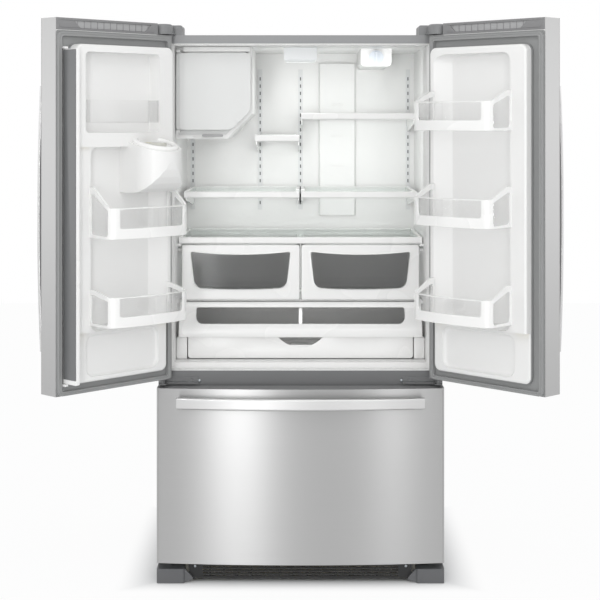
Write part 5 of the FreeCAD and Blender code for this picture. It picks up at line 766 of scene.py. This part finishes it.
# %% [markdown]
# ## Gaskets
#
# The gasket is extruded soft PVC: a magnet lies in the outer tube, and a bellows behind it lets
# the tube reach the cabinet. The whole section is carried round the door and mitred at the
# corners, where a real one is welded. On the doors a flat base strip lies under it, and a thin fin
# stands along the liner's raised wall.

# %% Bellows gaskets
def gasket(name, rect, shape, start, thick, width, body, node):
    """
    The section's outer face runs to and fro in waves as it goes from the door to the magnet tube:
    inset(s) = fold sin(2 pi waves s)^2. The inner face does the same, so both sides show pleats.
    """
    s = np.linspace(0, 1, 25)
    fold = 1.6 * np.sin(2 * np.pi * 1.5 * s) ** 2 * (s < 0.67) + 0.9 * np.clip((s - 0.9) / 0.1, 0, 1) ** 2
    (x0, y0), (x1, y1) = rect

    def ring(distance, depth):
        return shape(rounded_rect((x0 + distance, y0 + distance), (x1 - distance, y1 - distance),
                                  max(14 - distance * 0.5, 2), 6, 2), depth)

    rings = [ring(f, start + thick * t) for f, t in zip(fold, s)]
    for share in (0.3, 0.45, 0.55, 0.7):
        rings.append(ring(width * share, start + thick * (1 - (0.12 if 0.4 < share < 0.6 else 0))))
    rings += [ring(width - f, start + thick * t) for f, t in zip(fold[::-1], s[::-1])]
    return skin(name, rings, gasket_rubber, body, hoop=True, node=node, slot="gasket_rubber", crease=60)


GASKET_U = (14.0, 449.0)
GASKET_Z = (644.6, 1718.6)
GASKET_D = (51.2, 64.7)
GASKET_WIDE = 13.0
# The liner's raised wall stands inside the gasket: its corners in (u, z), and its corner radius.
low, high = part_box("right_door_skin")
RAISED = ((34.0, low.z / MM + 32), (409.0, high.z / MM - 78), 22.0)
FIN_THICK, FIN_HIGH = 1.8, 12.8


def raised_wall(growth):
    """The raised wall's outline, moved outwards by a growth."""
    (u0, z0), (u1, z1), radius = RAISED
    return rounded_rect((u0 - growth, z0 - growth), (u1 + growth, z1 + growth), radius + growth, 4, 2)


def door_face(door):
    """Sets an outline in (u, z) at a depth on a door."""
    return lambda points, depth: door(points[:, 0], depth, points[:, 1])


for side in SIDES:
    door = DOORS[side]
    gasket(side + "_gasket", ((GASKET_U[0], GASKET_Z[0]), (GASKET_U[1], GASKET_Z[1])), door_face(door),
           GASKET_D[0], GASKET_D[1] - GASKET_D[0], GASKET_WIDE, side + "_door", side + "_door_gasket")
    outer = rounded_rect((GASKET_U[0] - 11, GASKET_Z[0] - 0.5), (GASKET_U[1] + 0.8, GASKET_Z[1] + 4.8),
                         6, 4, 2)
    frame_round(side + "_gasket_base", outer, raised_wall(-0.5), (GASKET_D[0] + 0.1, GASKET_D[0] + 2.6),
                door_face(door), gasket_rubber, side + "_door", edge=0.8, slot="gasket_rubber")
    frame_round(side + "_gasket_fin", raised_wall(FIN_THICK), raised_wall(-0.5),
                (GASKET_D[0] + 2, GASKET_D[0] + FIN_HIGH), door_face(door), gasket_rubber, side + "_door",
                edge=0.7, slot="gasket_rubber")
low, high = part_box("freezer_gasket")
gasket("drawer_gasket", ((low.x / MM, low.z / MM), (high.x / MM, high.z / MM)), upright,
       high.y / MM, (low.y - high.y) / MM, GASKET_WIDE, "freezer_drawer", "freezer_gasket")
print("gaskets: 3")

# %% [markdown]
# ## Grip panels in the doors' top caps
#
# Each top cap has a ribbed panel sunk into its inner side, lighter than the cap, with slanted
# ends. Two cheeks fill the ends of the sunk strip, and a pale sheet lies on its floor.

# %% Cap panels
CAP_TRENCH_U = (70.6, 437.4)
CAP_TRENCH_D = (46.3, 51.1)
for side in SIDES:
    low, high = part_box(side + "_door_skin")
    z0, z1 = high.z / MM - 28.6, high.z / MM - 7.4
    face = door_face(DOORS[side])
    ends = {"hinge": [(106, z0), (84, z1), (CAP_TRENCH_U[0], z1), (CAP_TRENCH_U[0] + 2, z0)],
            "free": [(CAP_TRENCH_U[1] - 2, z0), (CAP_TRENCH_U[1], z1), (382, z1), (358, z0)]}
    for end, corners in ends.items():
        slab(f"{side}_cap_{end}_cheek", np.array(corners), CAP_TRENCH_D, face, cap_grey, side + "_door",
             edge=0.6, slot="cap_plastic")
    sheet = rounded_rect((80, z0 + 0.2), (390, z1 - 0.2), 1, 3, 40)
    slab(side + "_cap_panel", sheet, (CAP_TRENCH_D[0], CAP_TRENCH_D[0] + 1.6), face, panel_grey,
         side + "_door", edge=0.4, slot="cap_plastic")
print("cap panels: 2")

# %% [markdown]
# ## Turned pieces, the mullion and the ice chute
#
# The flip mullion is a white moulding with a steel face that a heater warms, so that the two
# doors' gaskets close on one smooth strip. The ice chute has a soft white ring that seals against
# the ice compartment, and a smooth funnel below it.

# %% Pieces of revolution
def turned(name, centre, axis, profile, finish, body, steps=48, shape=None, **more):
    """
    Revolves a profile of (radius, height) about an axis through a centre. With unit vectors p and q
    square to the axis n, a point is centre + n h + r (p cos t + q sin t). A closed profile is a hoop.
    """
    n = np.asarray(axis, float) / np.linalg.norm(axis)
    p = np.cross(n, (0.31, 0.95, 0.05))
    p /= np.linalg.norm(p)
    q = np.cross(n, p)
    t = np.linspace(0, 2 * np.pi, steps, endpoint=False)[:, None]
    circle = p * np.cos(t) + q * np.sin(t)
    rings = [np.asarray(centre, float) + n * h + r * circle for r, h in profile]
    if shape:
        rings = [shape(ring[:, 0], ring[:, 1], ring[:, 2]) for ring in rings]
    return skin(name, rings, finish, body, **more)


MULLION_U = (415.0, 432.0)
MULLION_D = (57.0, 121.0)
MULLION_Z = (681.2, 1667.0)
left = DOORS["left"]


def mullion_shape(points, u):
    """Outline in (d, z), standing on the left door at a distance u from its hinged edge."""
    return left(u, points[:, 0], points[:, 1])


(d0, d1), (z0, z1) = MULLION_D, MULLION_Z
slab("mullion_core", rounded_rect((d0, z0), (d1, z1), 4), (MULLION_U[0], MULLION_U[1] - 1.2), mullion_shape,
     frame_white, "mullion", edge=2.5, node="mullion", slot="mullion_steel")
slab("mullion_face", rounded_rect((d0 + 5, z0 + 14), (d1 - 0.2, z1 - 2), 2),
     (MULLION_U[1] - 9.5, MULLION_U[1]), mullion_shape, mullion_paint, "mullion", edge=1.0,
     slot="mullion_steel")
for name, z in (("low", z0 - 6), ("top", z1 - 1)):
    turned("mullion_pin_" + name, (MULLION_U[0] - 3, 68.5, z), (0, 0, 1),
           [(1.8, 0), (2.5, 0.8), (2.5, 6.2), (1.8, 7)], zinc, "mullion", 24, shape=left,
           slot="mullion_steel")

CHUTE = (138.0, 135.0, 1384.6)
CHUTE_TILT = math.radians(15)
lean_axis = (0, math.sin(CHUTE_TILT), math.cos(CHUTE_TILT))
t = np.linspace(0, 2 * np.pi, 20, endpoint=False)
turned("chute_seal", CHUTE, lean_axis, np.stack([62 + 9.5 * np.cos(t), 0.5 + 8.6 * np.sin(t)], -1),
       frame_white, "left_door", 72, shape=left, hoop=True, slot="white_liner")
THROAT = [(19.6, -55), (33.6, -4), (33.6, 4), (31.4, 4), (31.4, -4), (17.6, -55)]
turned("chute_throat", CHUTE, (0, 0, 1), THROAT,
       valve_white, "left_door", 48, shape=left, hoop=True, slot="white_liner")
turned("chute_flap", CHUTE, (0, 0, 1), [(17.8, -55), (17.8, -51), (16, -50)], paddle_grey, "left_door", 32,
       shape=left, slot="dispenser_black")
print("mullion and chute done")

# %% [markdown]
# ## Screws
#
# Pan-head screws hold the centre rail, and a bolt shows at each end of the kick grille. A screw
# head is turned from a profile, with a shallow drive in its middle.

# %% Screw heads
def pan_head(name, centre, axis, radius, body, slot):
    """A low domed head with a shallow round socket in its middle."""
    dome = [(radius * math.cos(a), radius * 0.45 * math.sin(a)) for a in np.linspace(0, 1.1, 6)]
    profile = [(radius, -0.6)] + dome + [(radius * 0.42, radius * 0.4), (radius * 0.38, radius * 0.05)]
    return turned(name, centre, axis, profile, zinc, body, 24, slot=slot)


low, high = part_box("center_rail")
for index, x in enumerate((-322, 322)):
    pan_head(f"rail_screw_{index}", (x, low.y / MM - 0.2, 628), (0, -1, 0), 5, "cabinet", "hinge_steel")
low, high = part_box("kick_grille")
GRILLE_BOLT_INSET, GRILLE_BOLT_HEIGHT, GRILLE_BOLT_RADIUS = 19, 50, 4.5
for index, x in enumerate((low.x / MM + GRILLE_BOLT_INSET, high.x / MM - GRILLE_BOLT_INSET)):
    pan_head(f"grille_bolt_{index}", (x, low.y / MM - 0.2, GRILLE_BOLT_HEIGHT), (0, -1, 0),
             GRILLE_BOLT_RADIUS, "cabinet", "hinge_steel")
print("screws done")

# %% [markdown]
# ## Ice compartment door and trim
#
# The ice compartment's insulated door wears a moulded cover plate with one corner cut off. A white
# strip closes the slot between that door and the ceiling.

# %% Ice compartment
def soft_corners(corners, reach, steps=6):
    """
    Rounds a polygon's corners. With A and B a reach away from the corner C along its two sides, the
    points are (1 - t)^2 A + 2 t (1 - t) C + t^2 B.
    """
    corners = np.asarray(corners, float)
    back, ahead = np.roll(corners, 1, 0) - corners, np.roll(corners, -1, 0) - corners
    start = corners + back / np.linalg.norm(back, axis=1, keepdims=True) * reach
    stop = corners + ahead / np.linalg.norm(ahead, axis=1, keepdims=True) * reach
    t = np.linspace(0, 1, steps)[:, None]
    return np.concatenate([(1 - t) ** 2 * a + 2 * t * (1 - t) * c + t ** 2 * b
                           for a, c, b in zip(start, corners, stop)])


ICE_COVER = [(-392, 1427), (-222, 1427), (-161, 1488), (-161, 1675), (-392, 1675)]
slab("ice_cover", soft_corners(ICE_COVER, 16), (-107.9, -109.8), upright, ice_white, "ice_door", edge=0.9,
     slot="white_liner")
low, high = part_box("ice_door")
_, box_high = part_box("ice_box")
strip = rounded_rect((low.x / MM + 24, 1679.5), (high.x / MM + 4, box_high.z / MM - 0.6), 2, 4, 6)
slab("ice_trim", strip, (-108.0, -90.5), upright, liner_white, "cabinet", edge=1.5, slot="white_liner")
# The grip slot is drawn as a grey plate on the box's flange: painted shade for the slot's recess.
slab("ice_grip_slot_painted_shade", rounded_rect((-318, 1404), (-250, 1412), 3.5), (-108.8, -106.0), upright, panel_grey,
     "cabinet", edge=0.6, slot="white_liner")
print("ice compartment done")

# %% [markdown]
# ## Shadow behind the shelf ladders
#
# Each ladder is a slotted steel strip over a hollow channel, so its slots look dark. A thin dark
# strip of painted shade lies in the channel behind the slots.

# %% Painted shade behind the ladders
LADDER_X = (-384, -144, 0, 384)
LADDER_Y = (401.0, 402.2)
# Each strip is painted shade: a dark sheet where the hollow channel behind the slots lies in shadow.
for index, x in enumerate(LADDER_X):
    slab(f"ladder_painted_shade_{index}", rounded_rect((x - 3, 1146), (x + 3, 1632), 1.5), LADDER_Y, upright,
         foot_grey, "cabinet", edge=0.3, slot="track_steel")
print("ladder painted shade strips:", len(LADDER_X))

# %% [markdown]
# ## Studio: floor, lights and camera
#
# A pale seamless floor, big soft lamps and an even white surround, as in a catalogue. The floor
# is plain paint for the light, and for the eye it fades to the white of the surround.

# %% Floor and surround
FLOOR_SIZE = 14.0
# The floor stays plain paint under the cabinet, over this half width and depth round this centre.
SHADE_CENTRE = (0.0, 0.195, 0.0)
SHADE_HALF = (0.45, 0.40, 1.0)
FLOOR_FADE = (0.95, 1.3)


def sight_rays(tree):
    """1 for what the eye sees, directly, in a metal or through glass; 0 for light that falls on things."""
    ray = add_node(tree, "ShaderNodeLightPath")
    eye, metal = ray.outputs["Is Camera Ray"], ray.outputs["Is Glossy Ray"]
    seen = add_node(tree, "ShaderNodeMath", {0: eye, 1: metal}, operation="MAXIMUM")
    return add_node(tree, "ShaderNodeMath", {0: seen.outputs[0], 1: ray.outputs["Is Transmission Ray"]},
                    operation="MAXIMUM").outputs[0]


def studio_floor():
    """A square floor that fades to white for the eye, in a rounded box round the cabinet's footprint."""
    half = FLOOR_SIZE / 2
    mesh = bpy.data.meshes.new("studio_floor")
    corners = [(-half, -half, 0), (half, -half, 0), (half, half, 0), (-half, half, 0)]
    mesh.from_pydata(corners, [], [(0, 1, 2, 3)])
    floor = bpy.data.objects.new("studio_floor", mesh)
    bpy.context.scene.collection.objects.link(floor)
    made, tree, bsdf = new_material("matt floor paint", Base_Color=linear("E6E7E8"), Roughness=0.7)
    grain = add_node(tree, "ShaderNodeTexNoise", {"Vector": place(tree), "Scale": 1 / (8 * MM)})
    bump = add_node(tree, "ShaderNodeBump", {"Height": grain.outputs["Fac"], "Strength": 0.05,
                                             "Distance": 1 * MM})
    tree.links.new(bump.outputs["Normal"], bsdf.inputs["Normal"])
    centred = add_node(tree, "ShaderNodeVectorMath", {0: place(tree), 1: SHADE_CENTRE}, operation="SUBTRACT")
    share = add_node(tree, "ShaderNodeVectorMath", {0: centred.outputs[0], 1: SHADE_HALF}, operation="DIVIDE")
    size = add_node(tree, "ShaderNodeVectorMath", {0: share.outputs[0]}, operation="ABSOLUTE")
    axes = add_node(tree, "ShaderNodeSeparateXYZ", {"Vector": size.outputs[0]})
    reach = add_node(tree, "ShaderNodeMath", {0: axes.outputs["X"], 1: axes.outputs["Y"]},
                     operation="MAXIMUM")
    fade = add_node(tree, "ShaderNodeMapRange", {"Value": reach.outputs[0], "From Min": FLOOR_FADE[0],
                                                 "From Max": FLOOR_FADE[1], "To Min": 0.0, "To Max": 0.94},
                    interpolation_type="SMOOTHSTEP")
    share = add_node(tree, "ShaderNodeMath", {0: sight_rays(tree), 1: fade.outputs[0]}, operation="MULTIPLY")
    white = add_node(tree, "ShaderNodeEmission", {"Color": (1, 1, 1, 1), "Strength": 1.0})
    mix = add_node(tree, "ShaderNodeMixShader", {"Fac": share.outputs[0], 1: bsdf.outputs[0],
                                                 2: white.outputs[0]})
    tree.links.new(mix.outputs[0], tree.nodes["Material Output"].inputs["Surface"])
    mesh.materials.append(made)
    return floor


studio_floor()
AMBIENT = 0.82
world = bpy.data.worlds.new("white_surround")
world.use_nodes = True
bpy.context.scene.world = world
sky = world.node_tree
level_seen = add_node(sky, "ShaderNodeMapRange", {"Value": sight_rays(sky), "To Min": AMBIENT, "To Max": 1.0})
sky.links.new(level_seen.outputs[0], sky.nodes["Background"].inputs["Strength"])
sky.nodes["Background"].inputs["Color"].default_value = (1, 1, 1, 1)
print("floor", FLOOR_SIZE, "m across, surround at", AMBIENT)

# %% Lamps
LAMPS = [
    # name, place, aimed at, width, height, radiance
    ("left_strip", (-0.95, -5.6, 1.5), (0.0, 0.0, 1.2), 0.75, 3.4, 6.9),
    ("right_strip", (1.42, -5.6, 1.5), (0.2, 0.0, 1.2), 0.3, 3.4, 5.8),
    ("high_soft", (0.0, -3.2, 4.2), (0.0, -0.2, 0.9), 3.0, 1.5, 1.6),
    ("cabinet_glow", (0.0, -0.008, 1.38), (0.0, 1.0, 1.38), 0.78, 0.58, 1.1),
    ("left_side", (-3.8, -0.5, 1.5), (0.0, -0.3, 1.3), 1.8, 1.5, 0.95),
    ("right_side", (3.8, -0.5, 1.5), (0.0, -0.3, 1.3), 1.8, 1.5, 0.95),
    ("crisper_glow", (0.0, 0.0, 0.95), (0.0, 1.0, 0.95), 0.74, 0.14, 0.8),
    ("pantry_glow", (0.0, -0.03, 0.80), (0.0, 1.0, 0.80), 0.70, 0.06, 0.9),
    ("ceiling_led", (0.0, 0.03, 1.646), (0.0, 0.03, 0.0), 0.09, 0.1, 8.0),
]
for name, spot, aim, width, height, radiance in LAMPS:
    lamp = bpy.data.lights.new(name, "AREA")
    lamp.shape = "RECTANGLE"
    lamp.size, lamp.size_y = width, height
    lamp.energy = radiance * math.pi * width * height
    stand = bpy.data.objects.new(name, lamp)
    stand.location = spot
    stand.visible_camera = False
    towards = np.array(aim) - np.array(spot)
    stand.rotation_euler = (math.atan2(np.hypot(towards[0], towards[1]), -towards[2]), 0,
                            math.atan2(-towards[0], towards[1]))
    bpy.context.scene.collection.objects.link(stand)
print("lamps:", [row[0] for row in LAMPS])

# %% [markdown]
# ## Camera
#
# The camera stands level at about eye height, and a lens shift brings the feet into the frame
# without tilting it, so that the cabinet's upright edges stay upright.

# %% Camera
camera = bpy.data.cameras.new("camera")
camera.lens = 88.8
camera.sensor_width = 36
camera.shift_x = -0.0008
camera.shift_y = -0.2963
stand = bpy.data.objects.new("camera", camera)
stand.location = (0, -4.8891, 1.4512)
stand.rotation_euler = (math.pi / 2, 0, 0)
bpy.context.scene.collection.objects.link(stand)
bpy.context.scene.camera = stand
bpy.context.scene.view_settings.view_transform = "Standard"
